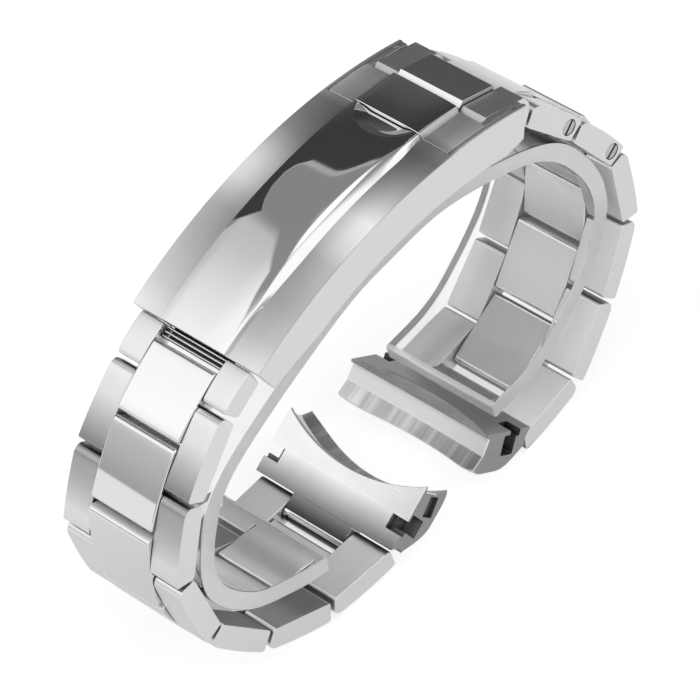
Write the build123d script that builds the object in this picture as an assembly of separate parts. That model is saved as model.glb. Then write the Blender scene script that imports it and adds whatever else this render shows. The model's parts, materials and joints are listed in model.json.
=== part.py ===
# A steel link watch bracelet with a folding clasp, stored closed round its clear former.
# X runs across the bracelet, Y along the long way of the oval and Z up, with the clasp on top.
# Side A leaves the clasp through the sliding adjuster, side B through the folding blades.
from build123d import *
import math
import os

os.makedirs("parts", exist_ok=True)

# Widths of the bracelet and its links
LUG_WIDTH = 20.0
LINK_WIDTH_AT_LUGS = 18.9
LINK_WIDTH_AT_CLASP = 15.2
CENTRE_WIDTH = 8.7
SIDE_CLEARANCE = 0.06

# Links, measured along the bracelet and from the wrist outward
LINK_PAIRS = 6
LINK_THICKNESS = 2.75
OUTER_PIN_PITCH = 6.1
CENTRE_PIN_PITCH = 3.5
LINK_END_GAP = 0.12
INNER_SETBACK = 0.45
LINK_CROWN = 0.22
CENTRE_DOME = 0.18
OUTER_CORNER_RADIUS = 0.75
INNER_CORNER_RADIUS = 0.4
EDGE_BREAK = 0.1
CENTRE_EDGE_BREAK = 0.22

# Pins and screws
PIN_RADIUS = 0.5
PIN_CLEARANCE = 0.04
PIN_RECESS = 0.05
SCREW_HEAD_RADIUS = 0.95
SCREW_HEAD_HEIGHT = 0.7
SCREW_SLOT_WIDTH = 0.3
SCREW_SLOT_DEPTH = 0.35
SCREW_LINKS = 2
HEAD_CLEARANCE = 0.03

# Turns from each piece to the next, in degrees, from the clasp round to the end link
SIDE_A_TURNS = (4, 11, 10.5, 11.5, 19, 16.5, 15, 15, 13.5, 13, 13.5, 7.5, 33)
SIDE_B_TURNS = (20, 12.5, 4, 4, 16, 15.5, 19.5, 16, 5.5, 5.5, 18, 19, 42.5)

# Clasp cover: an arch about one centre, which is also the centre that the adjuster slides round
CLASP_RADIUS = 59.3
CLASP_WIDTH = 17.8
COVER_LENGTH = 43.3
CLASP_CREST = 14.7
WALL_THICKNESS = 1.0
WALL_HEIGHT = 5.1
WALL_SKIN = 0.5
PLATE_THICKNESS = 0.9
STRIP_HALF_WIDTH = 4.45
STRIP_RISE = 0.65
FLANK_WIDTH = 0.7
BAND_RISE = 0.12
CHANNEL_HALF_WIDTH = 4.35
CHANNEL_DEPTH = 0.6
TAIL_CUT_LENGTH = 7.5
TAIL_CUT_HEIGHT = 1.1
NOSE_CUT_LENGTH = 2.6
NOSE_CUT_HEIGHT = 0.9
SCOOP_TOP_RADIUS = 4.0
SCOOP_FLOOR_RADIUS = 2.6
SCOOP_DEPTH = 0.45
SCOOP_OFFSET = 0.9

# Flip lock on the nose of the cover
FLIP_LOCK_LENGTH = 11.8
NOTCH_LENGTH = 5.8
SEAM_GAP = 0.12
RAIL_WIDTH = 0.62
LOCK_CLEARANCE = 0.05
LOCK_PIVOT_BACK = 1.45
LOCK_PIVOT_DEPTH = 1.35
LOCK_LOBE_RADIUS = 1.36
LOCK_PIN_RADIUS = 0.35

# Folding blades under the cover
BLADE_THICKNESS = 0.9
BLADE_HALF_WIDTH = 6.4
UPPER_BLADE_DEPTH = 2.45
LOWER_BLADE_DEPTH = 4.4
COVER_HINGE_BACK = 13.4
FOLD_HINGE_BACK = 37.6
KNUCKLE_RADIUS = 1.05
KNUCKLE_GAP = 0.1
KNUCKLE_CLEARANCE = 0.25
FOLD_KNUCKLE_HALF = 2.6
BLADE_SLOT_LENGTH = 11.0
BLADE_SLOT_WIDTH = 3.0

# End piece on the lower blade, which side B hangs from
HEAD_PIN_REACH = 0.5
HEAD_PIN_DEPTH = 2.55
HEAD_START_BACK = 5.55
HEAD_BLOCK_RISE = 0.7
HEAD_BLOCK_TAIL_RISE = 0.35
HEAD_BLOCK_FOOT_BACK = 2.6
HEAD_BLOCK_OVERHANG_DEPTH = 0.6
HEAD_BLOCK_EDGE_BREAK = 0.25
HEAD_PLATE_FRONT_DEPTH = 0.1
HEAD_PLATE_BEVEL = 0.6
HEAD_THROAT_BACK = 1.7
LATCH_RADIUS = 0.7
LATCH_BACK = 7.2
LATCH_HEIGHT = 1.3

# Sliding adjuster that side A hangs from, and the rack in the cover that it steps along
EAR_PIN_REACH = 3.45
EAR_PIN_DEPTH = 1.65
EAR_ROOT_LENGTH = 3.6
CARRIAGE_LENGTH = 12.0
CARRIAGE_HALF_WIDTH = 4.2
CARRIAGE_THICKNESS = 0.6
RACK_HALF_WIDTH = 3.0
RACK_LENGTH = 12.0
RACK_THICKNESS = 0.3
TOOTH_PITCH = 1.2
TOOTH_HEIGHT = 0.28
GLIDE_CLEARANCE = 0.1

# End links that meet the watch case, measured ahead of their pin and outward from its middle
END_SHOULDER_AHEAD = 2.3
END_SHOULDER_OUT = 0.9
END_BULGE_FROM = 6.2
END_BULGE_TO = 8.6
END_BULGE_OUT = 3.45
END_CROWN = 0.6
LIP_TIP_AHEAD = 10.5
LIP_TIP_OUT = 2.8
LIP_ROOT_AHEAD = 9.5
LIP_ROOT_OUT = 1.25
RECESS_AHEAD = 9.2
RECESS_OUT = -0.75
RIM_AHEAD = 9.75
RIM_CURVE_RADIUS = 19.5
RECESS_CURVE_RADIUS = 17.8
CASE_TILT = 23.0
TONGUE_CLEARANCE = 0.08
GROOVE_AHEAD = 1.3
GROOVE_WIDTH = 0.5
GROOVE_DEPTH = 0.6

# Spring-bar hole through each end link, and the pocket at each of its ends
BAR_AHEAD = 5.7
BAR_OUT = 0.25
BAR_HOLE_RADIUS = 0.62
POCKET_LENGTH = 1.5
POCKET_HEIGHT = 2.3
POCKET_DEPTH = 1.6
POCKET_SLIT_LENGTH = 0.7
POCKET_SLIT_REACH = 2.0

# Clear former that the bracelet is stored on
FORMER_THICKNESS = 2.2
FORMER_WIDTH = 15.6
FORMER_ROOF_GAP = 0.45
FORMER_GAPS_A = (1.2, 0.8, 0.5, 1.6, 2.7)
FORMER_GAPS_B = (1.1, 0.5, 1.0, 2.0, 3.6, 3.8)
FORMER_TAIL_B = 3.0
FORMER_TAIL_GAP = 4.0

# One overrun serves every cut that has to pass right through
OVERRUN = 1.0

# Sizes worked out from the ones above
LINK_HALF = LINK_THICKNESS / 2
LINK_PITCH = OUTER_PIN_PITCH + CENTRE_PIN_PITCH
LINK_LENGTH = LINK_PITCH - LINK_END_GAP
OUTER_REACH = (LINK_LENGTH - OUTER_PIN_PITCH) / 2
CENTRE_REACH = (LINK_LENGTH - CENTRE_PIN_PITCH) / 2
CENTRE_HALF = CENTRE_WIDTH / 2
PLATE_INSIDE = CENTRE_HALF + SIDE_CLEARANCE
CLASP_HALF = CLASP_WIDTH / 2
WALL_INSIDE = CLASP_HALF - WALL_THICKNESS
SKIN_INSIDE = CLASP_HALF - WALL_SKIN
LUG_HALF = LUG_WIDTH / 2
PLATE_FLOOR = -PLATE_THICKNESS
CHANNEL_ROOF = PLATE_FLOOR + CHANNEL_DEPTH
HEAD_HALF_WIDTH = LINK_WIDTH_AT_CLASP / 2

nodes = {}


def side_of_x(low, high):
    """A plane across the bracelet at x = low, and the thickness from there to high."""
    return Plane.YZ.offset(low), high - low


def slab(face, low, high):
    """A flat outline, drawn in Y and Z, given thickness across the bracelet."""
    plane, thickness = side_of_x(low, high)
    return extrude(plane * face, amount=thickness)


def rod(radius, low, high, y=0.0, z=0.0):
    """A round bar across the bracelet."""
    plane, length = side_of_x(low, high)
    return extrude(plane * Pos(y, z) * Circle(radius), amount=length)


def block(low, high):
    """A box between two opposite corners."""
    size = [b - a for a, b in zip(low, high)]
    return Pos(*low) * Box(*size, align=(Align.MIN, Align.MIN, Align.MIN))


# Places on the clasp are given by how far back they lie from its nose, and their height over its edge

def clasp_angle(back):
    """Angle from straight up, in degrees, positive towards side B."""
    return math.degrees((CLASP_CREST - back) / CLASP_RADIUS)


def on_clasp(back, height):
    """The point in Y and Z at that place on the clasp."""
    angle = math.radians(clasp_angle(back))
    radius = CLASP_RADIUS + height
    return radius * math.sin(angle), radius * math.cos(angle)


def clasp_sweep(section, front, rear):
    """A cross-section, drawn in X and radius, carried round the clasp's arch."""
    start = Rot(-clasp_angle(front), 0, 0) * (Plane.XZ * section)
    return revolve(start, axis=Axis.X, revolution_arc=clasp_angle(front) - clasp_angle(rear))


def section(points):
    """A cross-section of the clasp from pairs of x and height over the edge."""
    return make_face(Polyline(*[(x, CLASP_RADIUS + h) for x, h in points], close=True))


def bar_section(half_width, low, high):
    """A plain cross-section, as wide on both sides."""
    return section([(-half_width, low), (half_width, low), (half_width, high), (-half_width, high)])


def side_section(inside, outside, low, high):
    """The cross-sections of a pair of walls, one on each side."""
    near = section([(inside, low), (outside, low), (outside, high), (inside, high)])
    far = section([(-outside, low), (-inside, low), (-inside, high), (-outside, high)])
    return near, far


# Links

def link_width(index):
    """Full width of the bracelet at the outer end of link number index."""
    share = index / LINK_PAIRS
    return LINK_WIDTH_AT_CLASP + (LINK_WIDTH_AT_LUGS - LINK_WIDTH_AT_CLASP) * share


def link_outline(front, rear, dome=0.0):
    """Side outline with its pins at v = 0: flat inside, domed outside, rounded at both ends."""
    shoulder = LINK_HALF - LINK_CROWN + dome
    crown = LINK_HALF + dome
    middle = (rear - front) / 2
    sides = Polyline(
        (-front, shoulder),
        (-front + INNER_SETBACK, -LINK_HALF),
        (rear - INNER_SETBACK, -LINK_HALF),
        (rear, shoulder),
    )
    top = ThreePointArc((rear, shoulder), (middle, crown), (-front, shoulder))
    face = make_face(sides + top)
    low = face.vertices().group_by(Axis.Y)[0]
    face = fillet(low, INNER_CORNER_RADIUS)
    high = face.vertices().sort_by(Axis.Y)[-2:]
    return fillet(high, OUTER_CORNER_RADIUS)


def outer_plate(index):
    """The near plate of an outer pair, tapering with the bracelet."""
    reach = LINK_LENGTH / 2
    start = link_width(index - 1) / 2
    end = link_width(index) / 2
    plate = slab(link_outline(reach, reach), PLATE_INSIDE, end)
    wedge = make_face(Polyline(
        (start, -reach), (end, reach), (end + OVERRUN, reach), (end + OVERRUN, -reach), close=True,
    ))
    plate -= Pos(0, 0, -LINK_THICKNESS) * extrude(wedge, amount=2 * LINK_THICKNESS)
    outside = plate.faces().sort_by(Axis.X)[-1]
    plate = chamfer(outside.edges(), EDGE_BREAK)
    for side in (-1, 1):
        plate -= rod(PIN_RADIUS, 0, LUG_WIDTH, side * OUTER_PIN_PITCH / 2)
    return plate


def outer_pair(index):
    """Both plates of an outer pair, with a seat for a screw head where the link has one."""
    near = outer_plate(index)
    far = mirror(near, about=Plane.YZ)
    if index <= SCREW_LINKS:
        seat_bottom = screw_seat(index)
        near -= rod(SCREW_HEAD_RADIUS + HEAD_CLEARANCE, seat_bottom, LUG_WIDTH, OUTER_PIN_PITCH / 2)
    return [near, far]


def side_at(index, along):
    """Half width of an outer pair at a place along it."""
    start = link_width(index - 1) / 2
    end = link_width(index) / 2
    return start + (end - start) * (along / LINK_LENGTH + 1 / 2)


def screw_seat(index):
    """How far out the underside of the screw head lies."""
    return side_at(index, OUTER_PIN_PITCH / 2 - SCREW_HEAD_RADIUS) - SCREW_HEAD_HEIGHT


def slotted_screw(low, seat, along):
    """A long pin with a slotted flush head."""
    head_top = seat + SCREW_HEAD_HEIGHT
    screw = rod(PIN_RADIUS, low, seat, along) + rod(SCREW_HEAD_RADIUS, seat, head_top, along)
    slot = block(
        (head_top - SCREW_SLOT_DEPTH, along - SCREW_HEAD_RADIUS - OVERRUN, -SCREW_SLOT_WIDTH / 2),
        (head_top + OVERRUN, along + SCREW_HEAD_RADIUS + OVERRUN, SCREW_SLOT_WIDTH / 2),
    )
    return screw - slot


def outer_pins(index):
    """The two pins of an outer pair: the far one is a screw on the links that can be taken out."""
    half = OUTER_PIN_PITCH / 2
    rear_end = side_at(index, -half) - PIN_RECESS
    front_end = side_at(index, half) - PIN_RECESS
    pins = [rod(PIN_RADIUS, -rear_end, rear_end, -half)]
    if index <= SCREW_LINKS:
        pins.append(slotted_screw(-front_end, screw_seat(index), half))
    else:
        pins.append(rod(PIN_RADIUS, -front_end, front_end, half))
    return pins


def centre_link(rear_reach):
    """A centre link between its two pins, standing a little proud of the outer plates."""
    half = CENTRE_PIN_PITCH / 2
    outline = link_outline(half + rear_reach, half + CENTRE_REACH, CENTRE_DOME)
    link = slab(outline, -CENTRE_HALF, CENTRE_HALF)
    sides = link.faces().sort_by(Axis.X)
    link = chamfer(sides[0].edges() + sides[-1].edges(), CENTRE_EDGE_BREAK)
    for side in (-1, 1):
        link -= rod(PIN_RADIUS + PIN_CLEARANCE, -LUG_WIDTH, LUG_WIDTH, side * half)
    return [link]


# Chains of pins: each side is a list of pin places and of the direction of the piece after each pin

def chain(start, heading, turns, sense):
    """Pins from the clasp to the end link, and the headings of the pieces between them."""
    pins = [start]
    headings = []
    for number, turn in enumerate(turns):
        heading += sense * turn
        headings.append(heading)
        if number < len(turns) - 1:
            step = CENTRE_PIN_PITCH if number % 2 == 0 else OUTER_PIN_PITCH
            y, z = pins[-1]
            angle = math.radians(heading)
            pins.append((y + step * math.cos(angle), z + step * math.sin(angle)))
    return pins, headings


ear_pin_back = COVER_LENGTH + EAR_PIN_REACH
head_pin_back = -HEAD_PIN_REACH
pins_a, headings_a = chain(
    on_clasp(ear_pin_back, -EAR_PIN_DEPTH), -180 - clasp_angle(ear_pin_back), SIDE_A_TURNS, 1,
)
pins_b, headings_b = chain(
    on_clasp(head_pin_back, -HEAD_PIN_DEPTH), -clasp_angle(head_pin_back), SIDE_B_TURNS, -1,
)


def place_on(side, point, heading):
    """Where a piece drawn along +Y goes: side A is side B turned end for end."""
    y, z = point
    if side == "a":
        return Location((0, y, z), (heading + 180, 0, 0)) * Location((0, 0, 0), (0, 0, 180))
    return Location((0, y, z), (heading, 0, 0))


def middle(first, second):
    """The point half way between two pins."""
    return (first[0] + second[0]) / 2, (first[1] + second[1]) / 2


def add(name, solids, where=None):
    """Keep a node's solids, moved to their place."""
    nodes[name] = [where * solid if where else solid for solid in solids]


def make_side(side, pins, headings):
    """All the links of one side, each pair with its own pins."""
    for index in range(1, LINK_PAIRS + 1):
        centre_at = 2 * index - 2
        where = place_on(side, middle(pins[centre_at], pins[centre_at + 1]), headings[centre_at])
        rear_reach = OUTER_REACH if index == 1 else CENTRE_REACH
        add(f"side_{side}_centre_link_{index}", centre_link(rear_reach), where)
        where = place_on(side, middle(pins[centre_at + 1], pins[centre_at + 2]), headings[centre_at + 1])
        add(f"side_{side}_outer_links_{index}", outer_pair(index), where)
        add(f"side_{side}_link_pins_{index}", outer_pins(index), where)


# End links, drawn from their pin at the origin towards the watch case along +Y, with +Z outward

def end_outline(bulge):
    """Side outline of an end link, thin at the pin and deep near the case, running on past its front."""
    front = LIP_TIP_AHEAD + OVERRUN
    shoulder = (END_SHOULDER_AHEAD, END_SHOULDER_OUT)
    bulge_start = (END_BULGE_FROM, bulge)
    bulge_end = (END_BULGE_TO, bulge)
    lip = (LIP_TIP_AHEAD, LIP_TIP_OUT + bulge - END_BULGE_OUT)
    sides = Polyline(lip, (front, 0), (front, -LINK_HALF), (0, -LINK_HALF), (0, LINK_HALF / 2), shoulder)
    rise = Spline(shoulder, bulge_start, tangents=[(1, 1), (1, 0)])
    roll = Spline(bulge_end, lip, tangents=[(1, 0), (1, -1)])
    return make_face(sides + rise + Line(bulge_start, bulge_end) + roll)


def case_cut(start, stop, radius):
    """Room for the round case: a disc, tilted as the case lies, carried from start to stop."""
    tilt = math.radians(CASE_TILT)
    back = math.sqrt(radius ** 2 - LUG_HALF ** 2)
    centre = (0, start[0] + back * math.cos(tilt), start[1] - back * math.sin(tilt))
    disc = Plane(origin=centre, x_dir=(1, 0, 0), z_dir=(0, math.sin(tilt), math.cos(tilt))) * Circle(radius)
    ahead, out = stop[0] - start[0], stop[1] - start[1]
    return extrude(disc, amount=math.hypot(ahead, out), dir=(0, ahead, out))


def end_front():
    """The hollow front of an end link: its rim, the recess behind the rim and the outer lip."""
    root = (LIP_ROOT_AHEAD, LIP_ROOT_OUT)
    slope = (LIP_TIP_AHEAD - LIP_ROOT_AHEAD) / (LIP_TIP_OUT - LIP_ROOT_OUT)
    past_lip = (LIP_ROOT_AHEAD + slope * LINK_THICKNESS * 2, LIP_ROOT_OUT + LINK_THICKNESS * 2)
    rim = case_cut((RIM_AHEAD, -LINK_THICKNESS * 2), (RIM_AHEAD, RECESS_OUT), RIM_CURVE_RADIUS)
    recess = case_cut((RECESS_AHEAD, RECESS_OUT), root, RECESS_CURVE_RADIUS)
    return rim + recess + case_cut(root, past_lip, RECESS_CURVE_RADIUS)


def bar_pocket():
    """The pocket in the near side at the end of the spring-bar hole, with its slit to the inner face."""
    rear = BAR_AHEAD - POCKET_LENGTH / 2
    low = BAR_OUT - POCKET_HEIGHT / 2
    pocket = block((LUG_HALF - POCKET_DEPTH, rear, low), (LUG_WIDTH, rear + POCKET_LENGTH, low + POCKET_HEIGHT))
    slit = block((LUG_HALF - POCKET_SLIT_REACH, rear, -LINK_THICKNESS), (LUG_WIDTH, rear + POCKET_SLIT_LENGTH, low))
    return pocket + slit


def end_link():
    """A solid end link with a tongue for the last pin and a hollow front for a round case."""
    side = Plane.YZ.offset(LUG_HALF) * end_outline(END_BULGE_OUT)
    middle_section = Plane.YZ * end_outline(END_BULGE_OUT + END_CROWN)
    far = Plane.YZ.offset(-LUG_HALF) * end_outline(END_BULGE_OUT)
    body = loft([far, middle_section, side])
    tongue_half = CENTRE_HALF - TONGUE_CLEARANCE
    room = rod(END_SHOULDER_AHEAD, tongue_half, LUG_WIDTH)
    room += block((tongue_half, -OVERRUN, -LINK_THICKNESS), (LUG_WIDTH, 0, LINK_THICKNESS))
    body -= room
    body -= mirror(room, about=Plane.YZ)
    body += rod(LINK_HALF, -tongue_half, tongue_half)
    body -= block(
        (-LUG_WIDTH, GROOVE_AHEAD, -LINK_THICKNESS),
        (LUG_WIDTH, GROOVE_AHEAD + GROOVE_WIDTH, -LINK_HALF + GROOVE_DEPTH),
    )
    body -= end_front()
    body -= rod(BAR_HOLE_RADIUS, -LUG_WIDTH, LUG_WIDTH, BAR_AHEAD, BAR_OUT)
    pocket = bar_pocket()
    body -= pocket
    body -= mirror(pocket, about=Plane.YZ)
    body -= rod(PIN_RADIUS + PIN_CLEARANCE, -LUG_WIDTH, LUG_WIDTH)
    return [body]


def make_end(side, pins, headings):
    """An end link hung on the last pin."""
    add(f"end_link_{side}", end_link(), place_on(side, pins[-1], headings[-1]))


# Clasp cover

def wall_outline():
    """Side outline of the cover's walls, cut up at the tail and across the lower corner of the nose."""
    floor = -WALL_HEIGHT
    tail = COVER_LENGTH
    crown = ThreePointArc(on_clasp(0, 0), on_clasp(tail / 2, 0), on_clasp(tail, 0))
    tail_edge = Polyline(
        on_clasp(tail, 0), on_clasp(tail, floor + TAIL_CUT_HEIGHT), on_clasp(tail - TAIL_CUT_LENGTH, floor),
    )
    foot = ThreePointArc(
        on_clasp(tail - TAIL_CUT_LENGTH, floor), on_clasp(tail / 2, floor), on_clasp(NOSE_CUT_LENGTH, floor),
    )
    nose_edge = Polyline(
        on_clasp(NOSE_CUT_LENGTH, floor), on_clasp(0, floor + NOSE_CUT_HEIGHT), on_clasp(0, 0),
    )
    return make_face(crown + tail_edge + foot + nose_edge)


def top_points(half_width):
    """The brushed bands, their flanks and the raised strip, from one edge to the other."""
    near = [
        (half_width, 0),
        (STRIP_HALF_WIDTH + FLANK_WIDTH, BAND_RISE),
        (STRIP_HALF_WIDTH, STRIP_RISE),
    ]
    return near + [(-x, h) for x, h in reversed(near)]


def clasp_cover():
    """The arched cover: two walls under a plate with a raised strip, open underneath."""
    seam = FLIP_LOCK_LENGTH
    near_wall = slab(wall_outline(), WALL_INSIDE, CLASP_HALF)
    far_wall = slab(wall_outline(), -CLASP_HALF, -WALL_INSIDE)
    roof = section(top_points(CLASP_HALF) + [
        (-CLASP_HALF, PLATE_FLOOR),
        (-CHANNEL_HALF_WIDTH, PLATE_FLOOR),
        (-CHANNEL_HALF_WIDTH, CHANNEL_ROOF),
        (CHANNEL_HALF_WIDTH, CHANNEL_ROOF),
        (CHANNEL_HALF_WIDTH, PLATE_FLOOR),
        (CLASP_HALF, PLATE_FLOOR),
    ])
    cover = near_wall + far_wall + clasp_sweep(roof, seam, COVER_LENGTH)
    for half in side_section(WALL_INSIDE - OVERRUN, SKIN_INSIDE, PLATE_FLOOR - LOCK_CLEARANCE, OVERRUN):
        cover -= clasp_sweep(half, -OVERRUN, seam)
    cover -= lock_swing_room()
    y, z = on_clasp(seam - SCOOP_OFFSET, STRIP_RISE - SCOOP_DEPTH)
    scoop = Cone(SCOOP_FLOOR_RADIUS, SCOOP_TOP_RADIUS, SCOOP_DEPTH, align=(Align.CENTER, Align.CENTER, Align.MIN))
    cover -= Pos(0, y, z) * scoop
    y, z = on_clasp(COVER_HINGE_BACK, -UPPER_BLADE_DEPTH)
    cover -= rod(PIN_RADIUS, -SKIN_INSIDE, SKIN_INSIDE, y, z)
    y, z = on_clasp(LOCK_PIVOT_BACK, -LOCK_PIVOT_DEPTH)
    cover -= rod(LOCK_PIN_RADIUS, -CLASP_WIDTH, CLASP_WIDTH, y, z)
    return cover


def lock_swing_room():
    """Round recesses inside both walls for the flip lock's lobes."""
    y, z = on_clasp(LOCK_PIVOT_BACK, -LOCK_PIVOT_DEPTH)
    radius = LOCK_LOBE_RADIUS + LOCK_CLEARANCE
    low = WALL_INSIDE - OVERRUN
    recess = rod(radius, low, SKIN_INSIDE, y, z) + rod(radius, -SKIN_INSIDE, -low, y, z)
    corner = slab(make_face(Polyline(
        on_clasp(LOCK_PIVOT_BACK, 0), on_clasp(LOCK_PIVOT_BACK, -LOCK_PIVOT_DEPTH),
        on_clasp(-OVERRUN, -LOCK_PIVOT_DEPTH), on_clasp(-OVERRUN, 0), close=True,
    )), low, SKIN_INSIDE)
    return recess + corner + mirror(corner, about=Plane.YZ)


def flip_lock():
    """The safety catch: a plate that carries on the cover's top, with two rails to its pivots."""
    half = SKIN_INSIDE - LOCK_CLEARANCE
    seam = FLIP_LOCK_LENGTH - SEAM_GAP
    plate = clasp_sweep(
        section(top_points(half) + [(-half, PLATE_FLOOR), (half, PLATE_FLOOR)]), NOTCH_LENGTH, seam,
    )
    y, z = on_clasp(LOCK_PIVOT_BACK, -LOCK_PIVOT_DEPTH)
    for rail in side_section(half - RAIL_WIDTH, half, PLATE_FLOOR, 0):
        plate += clasp_sweep(rail, LOCK_PIVOT_BACK, NOTCH_LENGTH + RAIL_WIDTH)
    for low, high in ((half - RAIL_WIDTH, half), (-half, -half + RAIL_WIDTH)):
        plate += rod(LOCK_LOBE_RADIUS, low, high, y, z)
        plate -= rod(LOCK_PIN_RADIUS + PIN_CLEARANCE, low, high, y, z)
    return plate


def lock_pins():
    """A short pin in each wall for the flip lock to turn on."""
    y, z = on_clasp(LOCK_PIVOT_BACK, -LOCK_PIVOT_DEPTH)
    inner = SKIN_INSIDE - LOCK_CLEARANCE - RAIL_WIDTH
    return [rod(LOCK_PIN_RADIUS, inner, CLASP_HALF, y, z), rod(LOCK_PIN_RADIUS, -CLASP_HALF, -inner, y, z)]


# Folding blades

def blade_band(half_width, depth, front, rear):
    """A curved strip of sheet at a depth under the clasp's edge."""
    low = -depth - BLADE_THICKNESS / 2
    return clasp_sweep(bar_section(half_width, low, low + BLADE_THICKNESS), front, rear)


FOLD_HINGE_DEPTH = (UPPER_BLADE_DEPTH + LOWER_BLADE_DEPTH) / 2


def upper_blade():
    """The blade hinged to the cover, with split knuckles at the fold."""
    cover_y, cover_z = on_clasp(COVER_HINGE_BACK, -UPPER_BLADE_DEPTH)
    fold_y, fold_z = on_clasp(FOLD_HINGE_BACK, -FOLD_HINGE_DEPTH)
    room = KNUCKLE_RADIUS + KNUCKLE_CLEARANCE
    blade = blade_band(BLADE_HALF_WIDTH, UPPER_BLADE_DEPTH, COVER_HINGE_BACK, FOLD_HINGE_BACK)
    blade += rod(KNUCKLE_RADIUS, -BLADE_HALF_WIDTH, BLADE_HALF_WIDTH, cover_y, cover_z)
    for low, high in ((FOLD_KNUCKLE_HALF, BLADE_HALF_WIDTH), (-BLADE_HALF_WIDTH, -FOLD_KNUCKLE_HALF)):
        blade += rod(KNUCKLE_RADIUS, low, high, fold_y, fold_z)
    blade -= rod(room, -FOLD_KNUCKLE_HALF, FOLD_KNUCKLE_HALF, fold_y, fold_z)
    blade -= rod(PIN_RADIUS + PIN_CLEARANCE, -LUG_WIDTH, LUG_WIDTH, cover_y, cover_z)
    blade -= rod(PIN_RADIUS, -LUG_WIDTH, LUG_WIDTH, fold_y, fold_z)
    middle_back = (COVER_HINGE_BACK + FOLD_HINGE_BACK) / 2
    return blade - blade_slot(UPPER_BLADE_DEPTH, middle_back)


def blade_slot(depth, middle_back):
    """The long round-ended window in the middle of a blade."""
    low = -depth - BLADE_THICKNESS
    front = middle_back - BLADE_SLOT_LENGTH / 2
    rear = middle_back + BLADE_SLOT_LENGTH / 2
    window = clasp_sweep(bar_section(BLADE_SLOT_WIDTH / 2, low, low + 2 * BLADE_THICKNESS), front, rear)
    for end in (front, rear):
        upright = extrude(Circle(BLADE_SLOT_WIDTH / 2), amount=2 * BLADE_THICKNESS)
        window += Rot(-clasp_angle(end), 0, 0) * Pos(0, 0, CLASP_RADIUS + low) * upright
    return window


def lower_blade():
    """The blade against the wrist, from the fold to the end piece that side B hangs from."""
    fold_y, fold_z = on_clasp(FOLD_HINGE_BACK, -FOLD_HINGE_DEPTH)
    room = KNUCKLE_RADIUS + KNUCKLE_CLEARANCE
    inner_half = FOLD_KNUCKLE_HALF - KNUCKLE_GAP
    blade = blade_band(BLADE_HALF_WIDTH, LOWER_BLADE_DEPTH, HEAD_PIN_REACH, FOLD_HINGE_BACK)
    blade -= blade_band(PLATE_INSIDE, LOWER_BLADE_DEPTH, -OVERRUN, HEAD_THROAT_BACK)
    for low, high in ((inner_half, LUG_HALF), (-LUG_HALF, -inner_half)):
        blade -= rod(room, low, high, fold_y, fold_z)
    blade += rod(KNUCKLE_RADIUS, -inner_half, inner_half, fold_y, fold_z)
    blade -= rod(PIN_RADIUS + PIN_CLEARANCE, -LUG_WIDTH, LUG_WIDTH, fold_y, fold_z)
    middle_back = (COVER_HINGE_BACK + FOLD_HINGE_BACK) / 2
    return blade - blade_slot(LOWER_BLADE_DEPTH, middle_back)


def head_outline():
    """Side outline of the end plates: high under the flip lock and falling to the pin."""
    start = HEAD_START_BACK + HEAD_PIN_REACH
    top = HEAD_PIN_DEPTH - HEAD_PLATE_FRONT_DEPTH
    shoulder = LINK_HALF - LINK_CROWN
    return make_face(Polyline(
        (-start, top - HEAD_PLATE_BEVEL),
        (-start, INNER_CORNER_RADIUS - LINK_HALF),
        (INNER_CORNER_RADIUS - start, -LINK_HALF),
        (OUTER_REACH - INNER_SETBACK, -LINK_HALF),
        (OUTER_REACH, shoulder - OUTER_CORNER_RADIUS),
        (OUTER_REACH - OUTER_CORNER_RADIUS, shoulder),
        (0, LINK_HALF),
        (HEAD_PLATE_BEVEL - start, top),
        close=True,
    ))


def head_plates():
    """The two plates of the end piece, drawn from side B's first pin back under the flip lock."""
    near = slab(head_outline(), PLATE_INSIDE, HEAD_HALF_WIDTH)
    outside = near.faces().sort_by(Axis.X)[-1]
    near = chamfer(outside.edges(), EDGE_BREAK)
    near -= rod(PIN_RADIUS, 0, LUG_WIDTH)
    far = mirror(near, about=Plane.YZ)
    seat = HEAD_HALF_WIDTH - SCREW_HEAD_HEIGHT
    near -= rod(SCREW_HEAD_RADIUS + HEAD_CLEARANCE, seat, LUG_WIDTH)
    return [near, far]


def head_block():
    """The raised middle of the end piece, which fills the notch in the flip lock."""
    floor = -LOWER_BLADE_DEPTH + BLADE_THICKNESS / 2
    outline = Polyline(
        on_clasp(HEAD_START_BACK, floor),
        on_clasp(HEAD_START_BACK, BAND_RISE),
        on_clasp(HEAD_START_BACK - STRIP_RISE, HEAD_BLOCK_RISE),
        on_clasp(0, HEAD_BLOCK_TAIL_RISE),
        on_clasp(0, -HEAD_BLOCK_OVERHANG_DEPTH),
        on_clasp(HEAD_BLOCK_FOOT_BACK, -HEAD_BLOCK_OVERHANG_DEPTH),
        on_clasp(HEAD_BLOCK_FOOT_BACK, floor),
    )
    foot_middle = (HEAD_START_BACK + HEAD_BLOCK_FOOT_BACK) / 2
    foot = ThreePointArc(
        on_clasp(HEAD_BLOCK_FOOT_BACK, floor), on_clasp(foot_middle, floor), on_clasp(HEAD_START_BACK, floor),
    )
    raised = slab(make_face(outline + foot), -CENTRE_HALF, CENTRE_HALF)
    sides = raised.faces().sort_by(Axis.X)
    return chamfer(sides[0].edges() + sides[-1].edges(), HEAD_BLOCK_EDGE_BREAK)


def head_pin():
    """The screw that holds side B's first centre link."""
    seat = HEAD_HALF_WIDTH - SCREW_HEAD_HEIGHT
    return slotted_screw(-HEAD_HALF_WIDTH + PIN_RECESS, seat, 0.0)


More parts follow.
